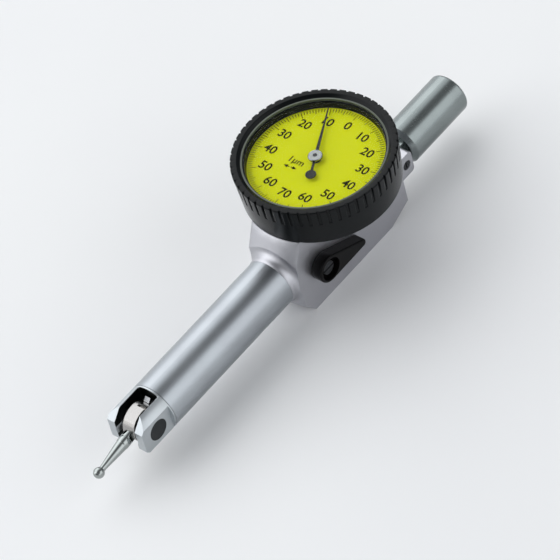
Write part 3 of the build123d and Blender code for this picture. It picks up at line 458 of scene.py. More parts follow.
class Finishes(Enum):
    """Every finish on the instrument."""

    HOUSING = Finish(
        "housing_satin_chrome", (0.51, 0.51, 0.54), (0.47, 0.47, 0.50), roughness=0.4, grain_depth=0.003
    )
    TUBE = Finish(
        "barrel_satin_chrome", (0.40, 0.425, 0.45), (0.37, 0.39, 0.415), roughness=0.34, grain_depth=0.003
    )
    # The fork's slot walls get a painted shade: a near-black colour where shade falls inside the slot.
    FORK = Finish(
        "fork_satin_chrome", (0.52, 0.55, 0.57), (0.47, 0.50, 0.52), roughness=0.4, inner_half_width=2.26,
        inner_radius=4.6, inner_height=7.8, inner_colour=(0.012, 0.016, 0.014),
    )
    STEM = Finish(
        "stem_ground_steel", (0.262, 0.292, 0.290), (0.235, 0.262, 0.260), roughness=0.26,
        stretch=(1.0, 0.02, 0.02), line_scale=4200.0, line_depth=0.0008, grain_depth=0.0006, spread=0.05,
    )
    BEZEL = Finish(
        "bezel_black_lacquer", (0.003, 0.0038, 0.0042), (0.005, 0.0062, 0.0068), metallic=0.0, roughness=0.2,
        spread=0.03, specular=0.13, grain_depth=0.0005,
    )
    CRYSTAL = ClearCrystal()
    GASKET = Finish(
        "crystal_ring_grey", (0.10, 0.12, 0.09), (0.07, 0.085, 0.06), metallic=0.0, roughness=0.4
    )
    DIAL = Finish(
        "dial_yellow_print", (0.77, 0.82, 0.006), (0.79, 0.83, 0.008), metallic=0.0, roughness=0.6,
        tone_scale=160.0, specular=0.05,
    )
    INK = Finish(
        "dial_black_ink", (0.022, 0.025, 0.004), (0.034, 0.037, 0.007), metallic=0.0, roughness=0.6,
        tone_scale=900.0, specular=0.05,
    )
    CONTACT = Finish(
        "contact_polished_steel", (0.37, 0.395, 0.385), (0.33, 0.35, 0.342), roughness=0.09, spread=0.04,
        grain_depth=0.0006,
    )
    HUB = Finish(
        "hub_turned_steel", (0.30, 0.315, 0.31), (0.25, 0.262, 0.258), roughness=0.22, ring_scale=9000.0,
        line_depth=0.002,
    )
    DRUM = Finish(
        "drum_ground_steel", (0.38, 0.37, 0.36), (0.32, 0.315, 0.305), roughness=0.25,
        stretch=(0.03, 1.0, 0.03), line_scale=6000.0, line_depth=0.003,
    )
    BRIGHT = Finish("bright_steel", (0.48, 0.485, 0.49), (0.42, 0.425, 0.43), roughness=0.25)
    DARK = Finish("blued_steel", (0.025, 0.028, 0.03), (0.05, 0.05, 0.055), metallic=0.8, roughness=0.4)
    BRASS = Finish("movement_brass", (0.52, 0.37, 0.14), (0.46, 0.32, 0.12), roughness=0.28)
    POINTER = Finish(
        "pointer_black_paint", (0.008, 0.009, 0.010), (0.014, 0.015, 0.017), metallic=0.0, roughness=0.42,
        specular=0.3,
    )
    LEVER = Finish(
        "lever_black_gloss", (0.002, 0.002, 0.0022), (0.005, 0.004, 0.004), metallic=0.0, roughness=0.14,
        spread=0.04, specular=0.12,
    )
    BRONZE = Finish("spring_bronze", (0.42, 0.25, 0.13), (0.37, 0.22, 0.115), roughness=0.3)
    FLOOR = Finish(
        "pale_floor", (0.90, 0.90, 0.90), (0.88, 0.88, 0.885), metallic=0.0, roughness=0.8, tone_scale=8.0,
        grain_scale=300.0, grain_depth=0.01, specular=0.2,
    )

    def material(self) -> bpy.types.Material:
        """The material of this finish, which is built at its first use."""
        made = bpy.data.materials.get(self.value.name)
        return self.value.material() if made is None else made


def linked(name: str, data: bpy.types.ID) -> Piece:
    """Makes an object in the scene.

    Args:
        name: name of the object.
        data: its mesh, text, light or camera.

    Returns:
        The new object.
    """
    made = bpy.data.objects.new(name, data)
    bpy.context.scene.collection.objects.link(made)
    return made


class Surface:
    """Meshes from grids of points that numpy works out."""

    MERGE_DISTANCE = 1e-8
    SLIVER_LENGTH = 1e-9

    @staticmethod
    def from_grid(
        name: str, points: np.ndarray, shape: Shape, finish: Finishes, sharp_deg: float = 35.0
    ) -> Piece:
        """Makes a mesh from a grid of points.

        The faces join each point (i, j) with (i + 1, j), (i + 1, j + 1) and (i, j + 1).

        Args:
            name: name of the piece.
            points: array of shape (rows, columns, 3) in millimetres.
            shape: OPEN leaves both ends, ROUND closes the columns, TORUS closes rows and columns.
            finish: the finish that dresses it.
            sharp_deg: edges that bend more than this stay sharp.

        Returns:
            The new object, at the origin.
        """
        rows, columns = points.shape[:2]
        top = rows if shape is Shape.TORUS else rows - 1
        side = columns - 1 if shape is Shape.OPEN else columns
        i, j = np.meshgrid(np.arange(top), np.arange(side), indexing="ij")
        ni, nj = (i + 1) % rows, (j + 1) % columns
        faces = np.stack([i * columns + j, ni * columns + j, ni * columns + nj, i * columns + nj], -1)
        return Surface.from_arrays(name, points.reshape(-1, 3), faces.reshape(-1, 4), finish, sharp_deg)

    @staticmethod
    def from_arrays(
        name: str, points: np.ndarray, faces: np.ndarray, finish: Finishes, sharp_deg: float = 35.0
    ) -> Piece:
        """Makes an outward-facing mesh from points and faces.

        Args:
            name: name of the piece.
            points: array of shape (n, 3) in millimetres.
            faces: array of corner numbers, one row for each face.
            finish: the finish that dresses it.
            sharp_deg: edges that bend more than this stay sharp.

        Returns:
            The new object, at the origin.
        """
        mesh = bpy.data.meshes.new(name)
        mesh.from_pydata((points * MM).tolist(), [], faces.tolist())
        work = bmesh.new()
        work.from_mesh(mesh)
        bmesh.ops.remove_doubles(work, verts=work.verts, dist=Surface.MERGE_DISTANCE)
        bmesh.ops.dissolve_degenerate(work, edges=work.edges, dist=Surface.SLIVER_LENGTH)
        bmesh.ops.recalc_face_normals(work, faces=work.faces)
        limit = math.radians(sharp_deg)
        for face in work.faces:
            face.smooth = True
        for edge in work.edges:
            edge.smooth = len(edge.link_faces) != 2 or edge.calc_face_angle(0.0) < limit
        work.to_mesh(mesh)
        work.free()
        mesh.materials.append(finish.material())
        return linked(name, mesh)

    @staticmethod
    def rounded(corners: list[tuple[float, float, float]], steps: int = 5) -> np.ndarray:
        """Rounds the corners of a profile.

        Each corner is replaced by a quadratic curve between points that lie its own radius away
        along the two sides.

        Args:
            corners: (along, out, radius) for each corner.
            steps: number of points on each rounded corner.

        Returns:
            Array of shape (n, 2) of profile points.
        """
        made: list[np.ndarray] = []
        for place, (x, y, radius) in enumerate(corners):
            here = np.array([x, y])
            if radius <= 0 or place in (0, len(corners) - 1):
                made.append(here[None, :])
                continue
            back = np.array(corners[place - 1][:2]) - here
            ahead = np.array(corners[place + 1][:2]) - here
            reach_back = min(radius, np.linalg.norm(back) * 0.5)
            reach_ahead = min(radius, np.linalg.norm(ahead) * 0.5)
            start = here + back / np.linalg.norm(back) * reach_back
            end = here + ahead / np.linalg.norm(ahead) * reach_ahead
            t = np.linspace(0, 1, steps)[:, None]
            made.append((1 - t) ** 2 * start + 2 * t * (1 - t) * here + t ** 2 * end)
        return np.concatenate(made)

    @staticmethod
    def turned(profile: np.ndarray, segments: int) -> np.ndarray:
        """Turns a profile about the Z axis: (r cos a, r sin a, z) over the whole circle.

        Args:
            profile: array of (z, radius) points.
            segments: number of columns round the axis.

        Returns:
            Grid of points, with the profile along the rows.
        """
        angle = np.linspace(0, 2 * np.pi, segments, endpoint=False)
        z, radius = profile[:, :1], profile[:, 1:]
        return np.stack([radius * np.cos(angle), radius * np.sin(angle), z * np.ones_like(angle)], -1)


def dress(finish: Finishes, *nodes: str) -> None:
    """Gives CAD nodes their finish.

    Args:
        finish: the finish that they take.
        nodes: names of the CAD nodes.
    """
    for node in nodes:
        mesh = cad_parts[node].data
        mesh.materials.clear()
        mesh.materials.append(finish.material())
        log.info("dressed %s as %s", node, finish.value.name)


def soften(
    node: str, width: float, weld_distance: float = 1e-7, sharp_deg: float = 40.0, segments: int = 2
) -> None:
    """Breaks the sharp edges of a CAD node, for the highlights along them.

    Args:
        node: name of the CAD node.
        width: width of the broken edge in millimetres.
        weld_distance: corners closer than this, in metres, are one corner.
        sharp_deg: edges that bend more than this are broken.
        segments: number of faces across a broken edge.
    """
    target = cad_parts[node]
    weld = target.modifiers.new("weld", "WELD")
    weld.merge_threshold = weld_distance
    bevel = target.modifiers.new("edges", "BEVEL")
    bevel.width = width * MM
    bevel.segments = segments
    bevel.limit_method = "ANGLE"
    bevel.angle_limit = math.radians(sharp_deg)
    bevel.harden_normals = True


def join_body(piece: Piece, body: Body, slot: Slot, *nodes: str) -> None:
    """Lets a new piece ride on a body, and stand for CAD nodes where any are given.

    Args:
        piece: the new object.
        body: the body that carries it.
        slot: the material slot that it names; not used.
        nodes: the CAD nodes that it stands for.
    """
    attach(piece, body.value)
    if nodes:
        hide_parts(*nodes)
    log.info("built %s with %d faces", piece.name, len(piece.data.polygons))


@dataclass
class Dial:
    """Printed face: divisions, numbers, the value of a division and the two arrows."""

    top: float = 22.72
    lift: float = 0.012
    divisions: int = 140
    numbered_every: int = 10
    middle_every: int = 5
    outer_radius: float = 11.95
    short_tick: float = 0.8
    middle_tick: float = 1.15
    long_tick: float = 1.5
    tick_width: float = 0.13
    number_radius: float = 8.85
    number_height: float = 2.45
    number_bold: float = 0.02
    unit_place: tuple[float, float] = (-2.0, 2.8)
    unit_height: float = 1.85
    unit_bold: float = 0.016
    curve_steps: int = 6
    arrow_half: float = 0.36
    arrow_length: float = 0.85
    stroke_half: float = 0.08
    stroke_end: float = 1.25
    arrow_places: tuple[tuple[float, float, float], ...] = ((-3.62, 4.3, 1.0), (-3.5, 1.6, -1.0))

    def build(self) -> None:
        """Dresses the plate and prints the face."""
        dress(Finishes.DIAL, "dial_plate")
        self.ticks()
        for number in range(self.divisions // self.numbered_every):
            self.number(number)
        self.unit()
        self.arrows()

    def ticks(self) -> None:
        """Prints the divisions.

        Division k is a flat bar along the radius at the angle 360 k / n, whose inner end depends
        on whether k is a multiple of ten, of five or of neither.
        """
        k = np.arange(self.divisions)
        angle = 2 * np.pi * k / self.divisions
        length = np.where(
            k % self.numbered_every == 0,
            self.long_tick,
            np.where(k % self.middle_every == 0, self.middle_tick, self.short_tick),
        )
        along = np.stack([np.cos(angle), np.sin(angle), np.zeros_like(angle)], -1)
        across = np.stack([-np.sin(angle), np.cos(angle), np.zeros_like(angle)], -1)
        half = self.tick_width / 2
        outer = along * self.outer_radius
        inner = along * (self.outer_radius - length)[:, None]
        corners = np.stack(
            [outer - across * half, outer + across * half, inner + across * half, inner - across * half], 1
        )
        corners[..., 2] = self.top + self.lift
        faces = np.arange(self.divisions * 4).reshape(-1, 4)
        piece = Surface.from_arrays("dial_divisions", corners.reshape(-1, 3), faces, Finishes.INK)
        join_body(piece, Body.BEZEL, Slot.DIAL)

    def number(self, place: int) -> None:
        """Prints the number at one of the numbered divisions.

        Args:
            place: which numbered division, counted from zero round the dial.
        """
        half = self.divisions // self.numbered_every // 2
        value = self.numbered_every * (half - abs(place - half))
        angle = 2 * math.pi * place / (2 * half)
        centre = (self.number_radius * math.cos(angle), -self.number_radius * math.sin(angle))
        name = f"dial_number_{place:02d}"
        self.letters(name, str(value), centre, self.number_height, self.number_bold)

    def unit(self) -> None:
        """Prints the value of one division."""
        self.letters("dial_unit", "1µm", self.unit_place, self.unit_height, self.unit_bold)

    def letters(
        self, name: str, words: str, centre: tuple[float, float], height: float, bold: float
    ) -> None:
        """Prints upright characters: their top points along +X and they read towards -Y.

        Args:
            name: name of the piece.
            words: the characters.
            centre: place of their middle on the dial.
            height: size of the characters.
            bold: how much the strokes are thickened, as a share of the height.
        """
        curve = bpy.data.curves.new(name, "FONT")
        curve.body = words
        curve.size = height * MM
        curve.align_x = "CENTER"
        curve.align_y = "CENTER"
        curve.offset = bold * height * MM
        curve.resolution_u = self.curve_steps
        text = linked(name + "_text", curve)
        bpy.context.view_layer.update()
        mesh = bpy.data.meshes.new_from_object(text.evaluated_get(bpy.context.evaluated_depsgraph_get()))
        bpy.data.objects.remove(text)
        place = Matrix.Translation(Vector((*centre, self.top + self.lift)) * MM)
        mesh.transform(place @ Matrix.Rotation(-math.pi / 2, 4, "Z"))
        mesh.materials.clear()
        mesh.materials.append(Finishes.INK.material())
        join_body(linked(name, mesh), Body.BEZEL, Slot.DIAL)

    def arrows(self) -> None:
        """Prints the two small arrows, one on each side of the value of a division.

        Each is a triangle with its point at the origin and a rectangle behind it, moved to its
        place, and mirrored for the arrow that points the other way.
        """
        half, length, side, end = self.arrow_half, self.arrow_length, self.stroke_half, self.stroke_end
        arrow = np.array([[0.0, 0.0], [half, -length], [-half, -length]])
        stroke = np.array([[side, -length], [side, -end], [-side, -end], [-side, -length]])
        outline = np.concatenate([arrow, stroke])
        faces = np.array([[0, 1, 2], [3, 4, 5], [3, 5, 6]])
        for number, (x, y, turn) in enumerate(self.arrow_places):
            shape = outline * np.array([1.0, turn]) + np.array([x, y])
            points = np.column_stack([shape, np.full(len(shape), self.top + self.lift)])
            piece = Surface.from_arrays(f"dial_arrow_{number}", points, faces, Finishes.INK)
            join_body(piece, Body.BEZEL, Slot.DIAL)


@dataclass
class BezelRing:
    """Black ring with upright grip grooves and softly broken edges."""

    bottom: float = 17.04
    top: float = 24.96
    bore: float = 12.63
    bottom_radius: float = 14.06
    outer_radius: float = 14.65
    shoulder: float = 24.82
    rim_radius: float = 14.53
    lip_radius: float = 13.5
    lip_foot: float = 13.0
    seat_radius: float = 12.9
    seat_top: float = 24.51
    crystal_bottom: float = 24.0
    throat_top: float = 12.3
    throat_bottom: float = 12.1
    dial_top: float = 22.73
    grooves: int = 54
    first_angle_deg: float = 1.25
    groove_half: float = 0.22
    groove_edge: float = 0.08
    groove_root: float = 14.3
    groove_bottom: float = 21.6
    groove_end: float = 0.06
    floor_columns: int = 7
    wall_columns: int = 4
    land_columns: int = 8
    end_rows: int = 7
    land_rows: int = 6
    land_start: float = 0.6
    land_stop: float = 0.3
    foot_round: float = 0.12
    edge_round: float = 0.08
    lip_round: float = 0.1
    lip_foot_round: float = 0.06
    seat_round: float = 0.05
    throat_round: float = 0.03
    round_steps: int = 6
    sharp_deg: float = 50.0

    def build(self) -> None:
        """Builds the ring and dresses its neighbours.

        The rounded profile is turned about the Z axis: (r cos a, r sin a, z), where r is the
        profile's radius less the depth of the grooves.
        """
        profile = Surface.rounded(
            [
                (self.bottom, self.bore, 0.0),
                (self.bottom, self.bottom_radius, self.foot_round),
                (self.shoulder, self.outer_radius, self.edge_round),
                (self.top, self.rim_radius, self.edge_round),
                (self.top, self.lip_radius, self.lip_round),
                (self.seat_top, self.lip_foot, self.lip_foot_round),
                (self.seat_top, self.seat_radius, self.seat_round),
                (self.crystal_bottom, self.seat_radius, 0.0),
                (self.crystal_bottom, self.throat_top, self.seat_round),
                (self.dial_top, self.throat_bottom, self.throat_round),
                (self.dial_top, self.bore, 0.0),
            ],
            steps=self.round_steps,
        )
        profile = self.refined(profile)
        angle, away = self.columns()
        z, radius = profile[:, :1], profile[:, 1:]
        out = radius - self.groove_depth(z, radius, away[None, :])
        points = np.stack([out * np.cos(angle), out * np.sin(angle), z + 0 * out], -1)
        piece = Surface.from_grid("bezel_ring", points, Shape.TORUS, Finishes.BEZEL, self.sharp_deg)
        join_body(piece, Body.BEZEL, Slot.BEZEL, "bezel")
        dress(Finishes.GASKET, "crystal_gasket")
        dress(Finishes.CRYSTAL, "crystal")
        dress(Finishes.BRIGHT, "dial_clip", "bezel_retaining_ring")

    def refined(self, profile: np.ndarray) -> np.ndarray:
        """Adds points to the outer wall, so that the grooves' lower ends have enough of them.

        Args:
            profile: array of (z, radius) points.

        Returns:
            The profile with the outer wall cut at even heights round the grooves' ends.
        """
        wall = np.argmax(np.diff(profile[:, 0]))
        foot, end = self.groove_bottom, self.groove_end
        heights = np.concatenate(
            [np.linspace(foot - end, foot + 2 * end, self.end_rows),
             np.linspace(foot + self.land_start, self.shoulder - self.land_stop, self.land_rows)]
        )
        low, high = profile[wall], profile[wall + 1]
        share = (heights - low[0]) / (high[0] - low[0])
        extra = low + share[:, None] * (high - low)
        return np.concatenate([profile[: wall + 1], extra, profile[wall + 1 :]])

    def columns(self) -> tuple[np.ndarray, np.ndarray]:
        """Angles round the ring, close together over each groove's walls.

        Returns:
            The angles, and for each the distance along the wall to the middle of its groove.
        """
        pitch = 2 * np.pi * self.outer_radius / self.grooves
        outer = self.groove_half + self.groove_edge
        floor = np.linspace(-self.groove_half, self.groove_half, self.floor_columns)
        wall = np.linspace(self.groove_half, outer, self.wall_columns)
        land = np.linspace(outer, pitch - outer, self.land_columns)
        offset = np.concatenate([floor, wall[1:], land[1:], pitch - wall[::-1][1:-1]])
        start = np.arange(self.grooves)[:, None] * pitch
        angle = (start + offset).ravel() / self.outer_radius + math.radians(self.first_angle_deg)
        away = np.tile(np.minimum(np.abs(offset), pitch - offset), self.grooves)
        return angle, away

    def groove_depth(self, z: np.ndarray, radius: np.ndarray, away: np.ndarray) -> np.ndarray:
        """Depth of the grip grooves over the ring.

        Each groove has a floor at the root radius. Its walls rise as the square of the distance to
        the outer edge, so that they are steep below and broken at the top, and its lower end is
        blunt.

        Args:
            z: heights, as a column.
            radius: radii of the plain profile, as a column.
            away: distances to the middle of the groove, as a row.

        Returns:
            The depth at each point of the grid.
        """
        share = np.clip((self.groove_half + self.groove_edge - away) / self.groove_edge, 0, 1) ** 2
        reach = np.clip(radius - self.groove_root, 0, None)
        return reach * share * np.clip((z - self.groove_bottom) / self.groove_end, 0, 1)


@dataclass
class ContactPoint:
    """Ball contact, its tapered shank and the drum at its root, which turns about the pivot."""

    pivot_x: float = -52.35
    pivot_z: float = 7.8
    droop_deg: float = 6.85
    ball_distance: float = 11.73
    ball_radius: float = 1.0
    neck_radius: float = 0.58
    cone_end: float = 5.5
    cone_radius: float = 1.06
    collar_start: float = 4.1
    collar_radius: float = 1.16
    hub_radius: float = 3.3
    hub_half_width: float = 1.3
    hub_edge: float = 0.1
    hub_bore: float = 0.62
    slot_angle_deg: float = 78.0
    slot_width: float = 0.5
    slot_depth: float = 0.35
    slot_end: float = 0.4
    slot_end_wall: float = 0.01
    slot_side_wall: float = 0.002
    slot_columns: int = 5
    rim_columns: int = 120
    root_depth: float = 0.2
    root_round: float = 0.02
    groove_width: float = 0.2
    groove_slope: float = 0.04
    groove_depth: float = 0.1
    groove_edge: float = 0.05
    groove_round: float = 0.03
    collar_bevel: float = 0.12
    collar_round: float = 0.08
    cone_round: float = 0.04
    cone_land: float = 0.3
    land_round: float = 0.12
    neck_length: float = 0.45
    neck_round: float = 0.3
    ball_overlap: float = 0.02
    flats_half_width: float = 0.85
    flats_margin: float = 0.02
    ball_rows: int = 40
    ball_columns: int = 64
    ball_sharp_deg: float = 60.0
    shank_columns: int = 72

    def placed(self, grid: np.ndarray) -> np.ndarray:
        """Turns a grid made about Z into its place.

        The local Z axis becomes the line from the pivot to the ball, which points towards -X and
        droops by the stated angle.

        Args:
            grid: points about the local Z axis.

        Returns:
            The points in the row frame, in millimetres.
        """
        droop = math.radians(self.droop_deg)
        line = np.array([-math.cos(droop), 0.0, -math.sin(droop)])
        side = np.array([0.0, 1.0, 0.0])
        third = np.cross(line, side)
        turned = grid[..., :1] * third + grid[..., 1:2] * side + grid[..., 2:] * line
        return turned + np.array([self.pivot_x, 0.0, self.pivot_z])

    def build(self) -> None:
        """Builds the ball, the shank and the drum."""
        self.ball()
        self.shank()
        self.drum()

    def ball(self) -> None:
        """Builds the ball.

        An arc (d - R cos t, R sin t) runs from the neck to the tip, is closed at the axis at both
        ends and turned about the line from the pivot.
        """
        start = math.asin(self.neck_radius / self.ball_radius)
        swing = np.linspace(start, np.pi, self.ball_rows)
        along = self.ball_distance - self.ball_radius * np.cos(swing)
        profile = np.stack([along, self.ball_radius * np.sin(swing)], -1)
        profile[-1, 1] = 0.0
        profile = np.concatenate([[[profile[0, 0], 0.0]], profile])
        grid = self.placed(Surface.turned(profile, self.ball_columns))
        piece = Surface.from_grid(
            "contact_ball_polished", grid, Shape.ROUND, Finishes.CONTACT, self.ball_sharp_deg
        )
        join_body(piece, Body.STYLUS, Slot.POLISHED, "contact_ball")

    def shank(self) -> None:
        """Builds the tapered shank.

        A rounded profile with the collar's groove is turned about the line from the pivot. Behind
        the collar the sideways coordinate is held between the two flats.
        """
        neck = self.ball_distance - math.sqrt(self.ball_radius**2 - self.neck_radius**2)
        root, start, cone = self.hub_radius - self.root_depth, self.collar_start, self.cone_end
        collar, floor = self.collar_radius, self.collar_radius - self.groove_depth
        slope = self.groove_slope
        profile = Surface.rounded(
            [
                (root, 0.0, 0.0),
                (root, collar, self.root_round),
                (start, collar, self.groove_edge),
                (start + slope, floor, self.groove_round),
                (start + self.groove_width - slope, floor, self.groove_round),
                (start + self.groove_width, collar, self.groove_edge),
                (cone - self.collar_bevel, collar, self.collar_round),
                (cone, self.cone_radius, self.cone_round),
                (cone + self.cone_land, self.cone_radius, self.land_round),
                (neck - self.neck_length, self.neck_radius, self.neck_round),
                (neck + self.ball_overlap, self.neck_radius, 0.0),
                (neck + self.ball_overlap, 0.0, 0.0),
            ]
        )
        grid = Surface.turned(profile, self.shank_columns)
        side = grid[..., 1]
        flat = (profile[:, 0] < start - self.flats_margin)[:, None]
        held = np.clip(side, -self.flats_half_width, self.flats_half_width)
        grid[..., 1] = np.where(flat, held, side)
        piece = Surface.from_grid("contact_shank_polished", self.placed(grid), Shape.ROUND, Finishes.CONTACT)
        join_body(piece, Body.STYLUS, Slot.POLISHED, "contact_stem")

    def drum(self) -> None:
        """Builds the drum at the root of the shank.

        A closed profile with broken edges is turned about the Y axis through the pivot. The grip
        slot lowers the rim by its depth where the angle lies within its width and the sideways
        place is short of its blind end.
        """
        half, edge, rim, bore = self.hub_half_width, self.hub_edge, self.hub_radius, self.hub_bore
        blind = self.slot_end
        across = np.array(
            [-half, -half, -half + edge, blind, blind + self.slot_end_wall, half - edge, half, half]
        )
        radius = np.array([bore, rim - edge, rim, rim, rim, rim, rim - edge, bore])
        reach = self.slot_width / 2 / rim
        outside = reach + self.slot_side_wall
        slot = np.linspace(-reach, reach, self.slot_columns)
        rest = np.linspace(outside, 2 * np.pi - outside, self.rim_columns)
        angle = math.radians(self.slot_angle_deg) + np.concatenate([slot, rest])
        inside = np.arange(len(angle)) < self.slot_columns
        cut = (across <= blind)[:, None] & (radius > bore)[:, None] & inside[None, :]
        out = radius[:, None] - np.where(cut, self.slot_depth, 0.0)
        x = self.pivot_x + out * np.cos(angle)
        z = self.pivot_z + out * np.sin(angle)
        grid = np.stack([x, across[:, None] + 0 * out, z], -1)
        piece = Surface.from_grid("hub_drum_ground", grid, Shape.TORUS, Finishes.DRUM)
        join_body(piece, Body.STYLUS, Slot.POLISHED, "stylus_hub")


class Pointer:
    """Needle, its counterweight and its polished hub."""

    def build(self) -> None:
        """Dresses the pieces of the pointer."""
        dress(Finishes.POINTER, "pointer")
        dress(Finishes.HUB, "pointer_hub")
        dress(Finishes.DARK, "pointer_arbor")
        dress(Finishes.BRASS, "hairspring_collet")


class Movement:
    """Gear train, plates, arbors and springs inside the housing."""

    def build(self) -> None:
        """Dresses the pieces of the movement."""
        dress(Finishes.BRASS, "main_plate", "near_side_plate", "far_side_plate", "centre_cock")
        dress(Finishes.BRASS, "hairspring_stud", "sector_gear", "crown_gear")
        dress(Finishes.BRIGHT, "main_plate_screws", "side_plate_screws", "transmission_arm", "friction_leaf")
        dress(Finishes.BRIGHT, "sector_arbor", "crown_arbor", "drive_pin", "pivot_pin")
        dress(Finishes.BRONZE, "arbor_bushes", "centre_bush", "hairspring", "lever_bush")


@dataclass
class Case:
    """Housing, barrel, fork head, reversing lever and stem."""

    edge_width: float = 0.1

    def build(self) -> None:
        """Dresses the outer pieces and breaks the sharp edges of three of them."""
        dress(Finishes.HOUSING, "housing")
        dress(Finishes.TUBE, "barrel_tube")
        dress(Finishes.FORK, "fork_head")
        dress(Finishes.LEVER, "reversing_lever")
        dress(Finishes.STEM, "stem")
        dress(Finishes.DARK, "pivot_bearing_screws", "lever_screw", "lever_shaft")
        dress(Finishes.DARK, "swivel_screw", "swivel_washers")
        for node in ("housing", "fork_head", "reversing_lever"):
            soften(node, self.edge_width)


@dataclass(frozen=True)
class SoftBox:
    """Soft box of the studio, with its place and size in millimetres and its power in watts."""

    name: str
    place: tuple[float, float, float]
    wide: float
    high: float
    watts: float

    def hang(self, aim: Vector) -> None:
        """Hangs the box.

        Args:
            aim: the point that it faces, in millimetres.
        """
        data = bpy.data.lights.new(self.name, "AREA")
        data.shape = "RECTANGLE"
        data.size, data.size_y = self.wide * MM, self.high * MM
        data.energy = self.watts
        made = linked(self.name, data)
        made.location = Vector(self.place) * MM
        made.rotation_mode = "QUATERNION"
        made.rotation_quaternion = (aim - Vector(self.place)).to_track_quat("-Z", "Y")


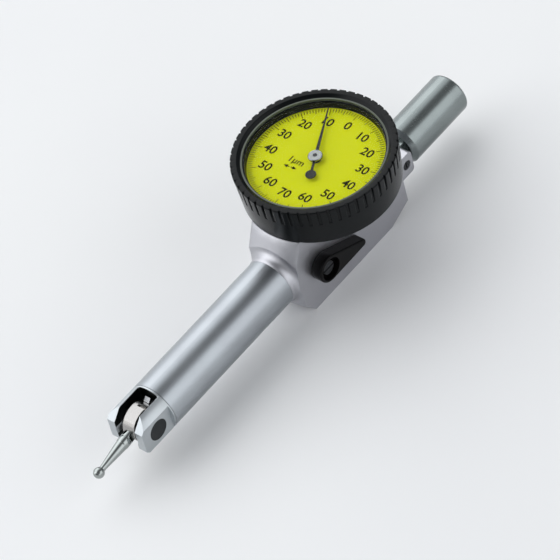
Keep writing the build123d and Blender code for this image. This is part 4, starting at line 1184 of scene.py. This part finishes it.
@dataclass
class Studio:
    """Floor, lights and camera of the picture."""

    azimuth_deg: float = -39.5
    elevation_deg: float = 46.858
    roll_deg: float = -15.808
    shift_right: float = -8.945
    shift_up: float = -10.766
    distance: float = 708.396
    focal_pixels: float = 4083.972
    picture_pixels: float = 560.0
    sensor: float = 36.0
    axis_height: float = 7.8
    side_glow: float = 1.2
    card_glow: float = 0.24
    card_middle: float = -0.2
    card_half: float = 0.32
    card_low: float = 0.45
    card_side_edge: float = 0.1
    card_low_edge: float = 0.15
    board_limit: float = 0.9
    board_edge: float = 0.03
    end_shift: float = 0.07
    end_reach: float = 0.69
    end_reach_edge: float = 0.07
    end_top: float = 0.45
    end_top_edge: float = 0.1
    air_colour: tuple[float, float, float] = (0.94, 0.97, 1.0)
    floor_half: float = 3000.0
    floor_points: int = 9
    floor_drop: float = 0.02
    near_clip: float = 10.0
    far_clip: float = 20000.0
    aim: tuple[float, float, float] = (0.0, 0.0, 10.0)
    boxes: tuple[SoftBox, ...] = (
        SoftBox("left_box", (-60.0, 450.0, 450.0), 1400.0, 500.0, 2.1),
        SoftBox("right_box", (120.0, -550.0, 300.0), 1400.0, 450.0, 0.8),
        SoftBox("front_box", (-450.0, 330.0, 110.0), 300.0, 220.0, 0.3),
    )

    def build(self) -> None:
        """Sets the floor, the lights and the camera."""
        self.floor()
        self.sky()
        for box in self.boxes:
            box.hang(Vector(self.aim))
        self.camera()

    def axes(self) -> tuple[np.ndarray, np.ndarray, np.ndarray]:
        """Directions to the right, up and back of the camera, as unit vectors."""
        a, e, r = map(math.radians, (self.azimuth_deg, self.elevation_deg, self.roll_deg))
        back = np.array([math.sin(a) * math.cos(e), -math.cos(a) * math.cos(e), math.sin(e)])
        level = np.cross(-back, [0, 0, 1])
        level /= np.linalg.norm(level)
        rise = np.cross(level, -back)
        right = math.cos(r) * level + math.sin(r) * rise
        up = -math.sin(r) * level + math.cos(r) * rise
        return right, up, back

    def camera(self) -> None:
        """Places the camera at the angle of the photograph."""
        right, up, back = self.axes()
        place = self.shift_right * right + self.shift_up * up + self.distance * back
        place = place + np.array([0.0, 0.0, self.axis_height])
        data = bpy.data.cameras.new("camera")
        data.sensor_width = self.sensor
        data.lens = self.focal_pixels / self.picture_pixels * self.sensor
        data.clip_start, data.clip_end = self.near_clip * MM, self.far_clip * MM
        made = linked("camera", data)
        turn = Matrix(np.column_stack([right, up, back]).tolist()).to_4x4()
        made.matrix_world = Matrix.Translation(Vector(place * MM)) @ turn
        bpy.context.scene.camera = made

    def floor(self) -> None:
        """Lays a wide pale floor: a flat grid just under the base."""
        side = np.linspace(-self.floor_half, self.floor_half, self.floor_points)
        x, y = np.meshgrid(side, side, indexing="ij")
        points = np.stack([x, y, np.full_like(x, -self.floor_drop)], -1)
        piece = Surface.from_grid("floor", points, Shape.OPEN, Finishes.FLOOR)
        if piece.data.polygons[0].normal.z < 0:
            piece.data.flip_normals()

    def sky(self) -> None:
        """Lights the surroundings softly, with dark cards overhead, at both ends and at the lens.

        The card overhead covers the directions whose height is over a limit and whose sideways
        part lies within a half width of its middle. The end cards cover the low directions along
        X. The lens board covers a round patch about the direction from which the picture is
        taken. All have soft edges.
        """
        world = bpy.data.worlds.new("studio")
        world.use_nodes = True
        tree = world.node_tree
        split = tree.nodes.new("ShaderNodeSeparateXYZ")
        place = tree.nodes.new("ShaderNodeTexCoord").outputs["Generated"]
        tree.links.new(place, split.inputs[0])
        offset = Effects.calculate(tree, "SUBTRACT", split.outputs["Y"], self.card_middle)
        offset = Effects.calculate(tree, "ABSOLUTE", offset)
        within = self.past(tree, offset, self.card_half, -self.card_side_edge)
        above = self.past(tree, split.outputs["Z"], self.card_low, self.card_low_edge)
        card = Effects.calculate(tree, "MULTIPLY", within, above)
        reach = Effects.calculate(tree, "ADD", split.outputs["X"], self.end_shift)
        reach = Effects.calculate(tree, "ABSOLUTE", reach)
        along = self.past(tree, reach, self.end_reach, self.end_reach_edge)
        low = self.past(tree, split.outputs["Z"], self.end_top, -self.end_top_edge)
        ends = Effects.calculate(tree, "MULTIPLY", along, low)
        toward = Effects.calculate(tree, "DOT_PRODUCT", place, self.axes()[2].tolist(), vector=True)
        board = self.past(tree, toward, self.board_limit, self.board_edge)
        dark = Effects.calculate(tree, "MAXIMUM", Effects.calculate(tree, "MAXIMUM", card, ends), board)
        glow = Effects.fade(tree, dark, 0.0, 1.0, self.side_glow, self.card_glow)
        background = tree.nodes["Background"]
        background.inputs["Color"].default_value = (*self.air_colour, 1.0)
        tree.links.new(glow, background.inputs["Strength"])
        bpy.context.scene.world = world
        bpy.context.scene.view_settings.view_transform = "Standard"

    @staticmethod
    def past(tree: Tree, value: Socket, limit: float, edge: float) -> Socket:
        """Adds a soft mask of the values past a limit.

        Args:
            tree: the tree that takes the nodes.
            value: socket with the value.
            limit: where the mask is one half.
            edge: half width of the soft edge. A negative one masks the values below the limit.

        Returns:
            The socket with the mask.
        """
        start, end = (0.0, 1.0) if edge > 0 else (1.0, 0.0)
        return Effects.fade(tree, value, limit - abs(edge), limit + abs(edge), start, end)


def main() -> None:
    """Builds the sub-assemblies in order."""
    logging.basicConfig(level=logging.INFO, format="%(message)s")
    for part in (Case(), BezelRing(), Dial(), Pointer(), ContactPoint(), Movement(), Studio()):
        log.info("building %s", type(part).__name__)
        part.build()


if __name__ == "__main__":
    main()
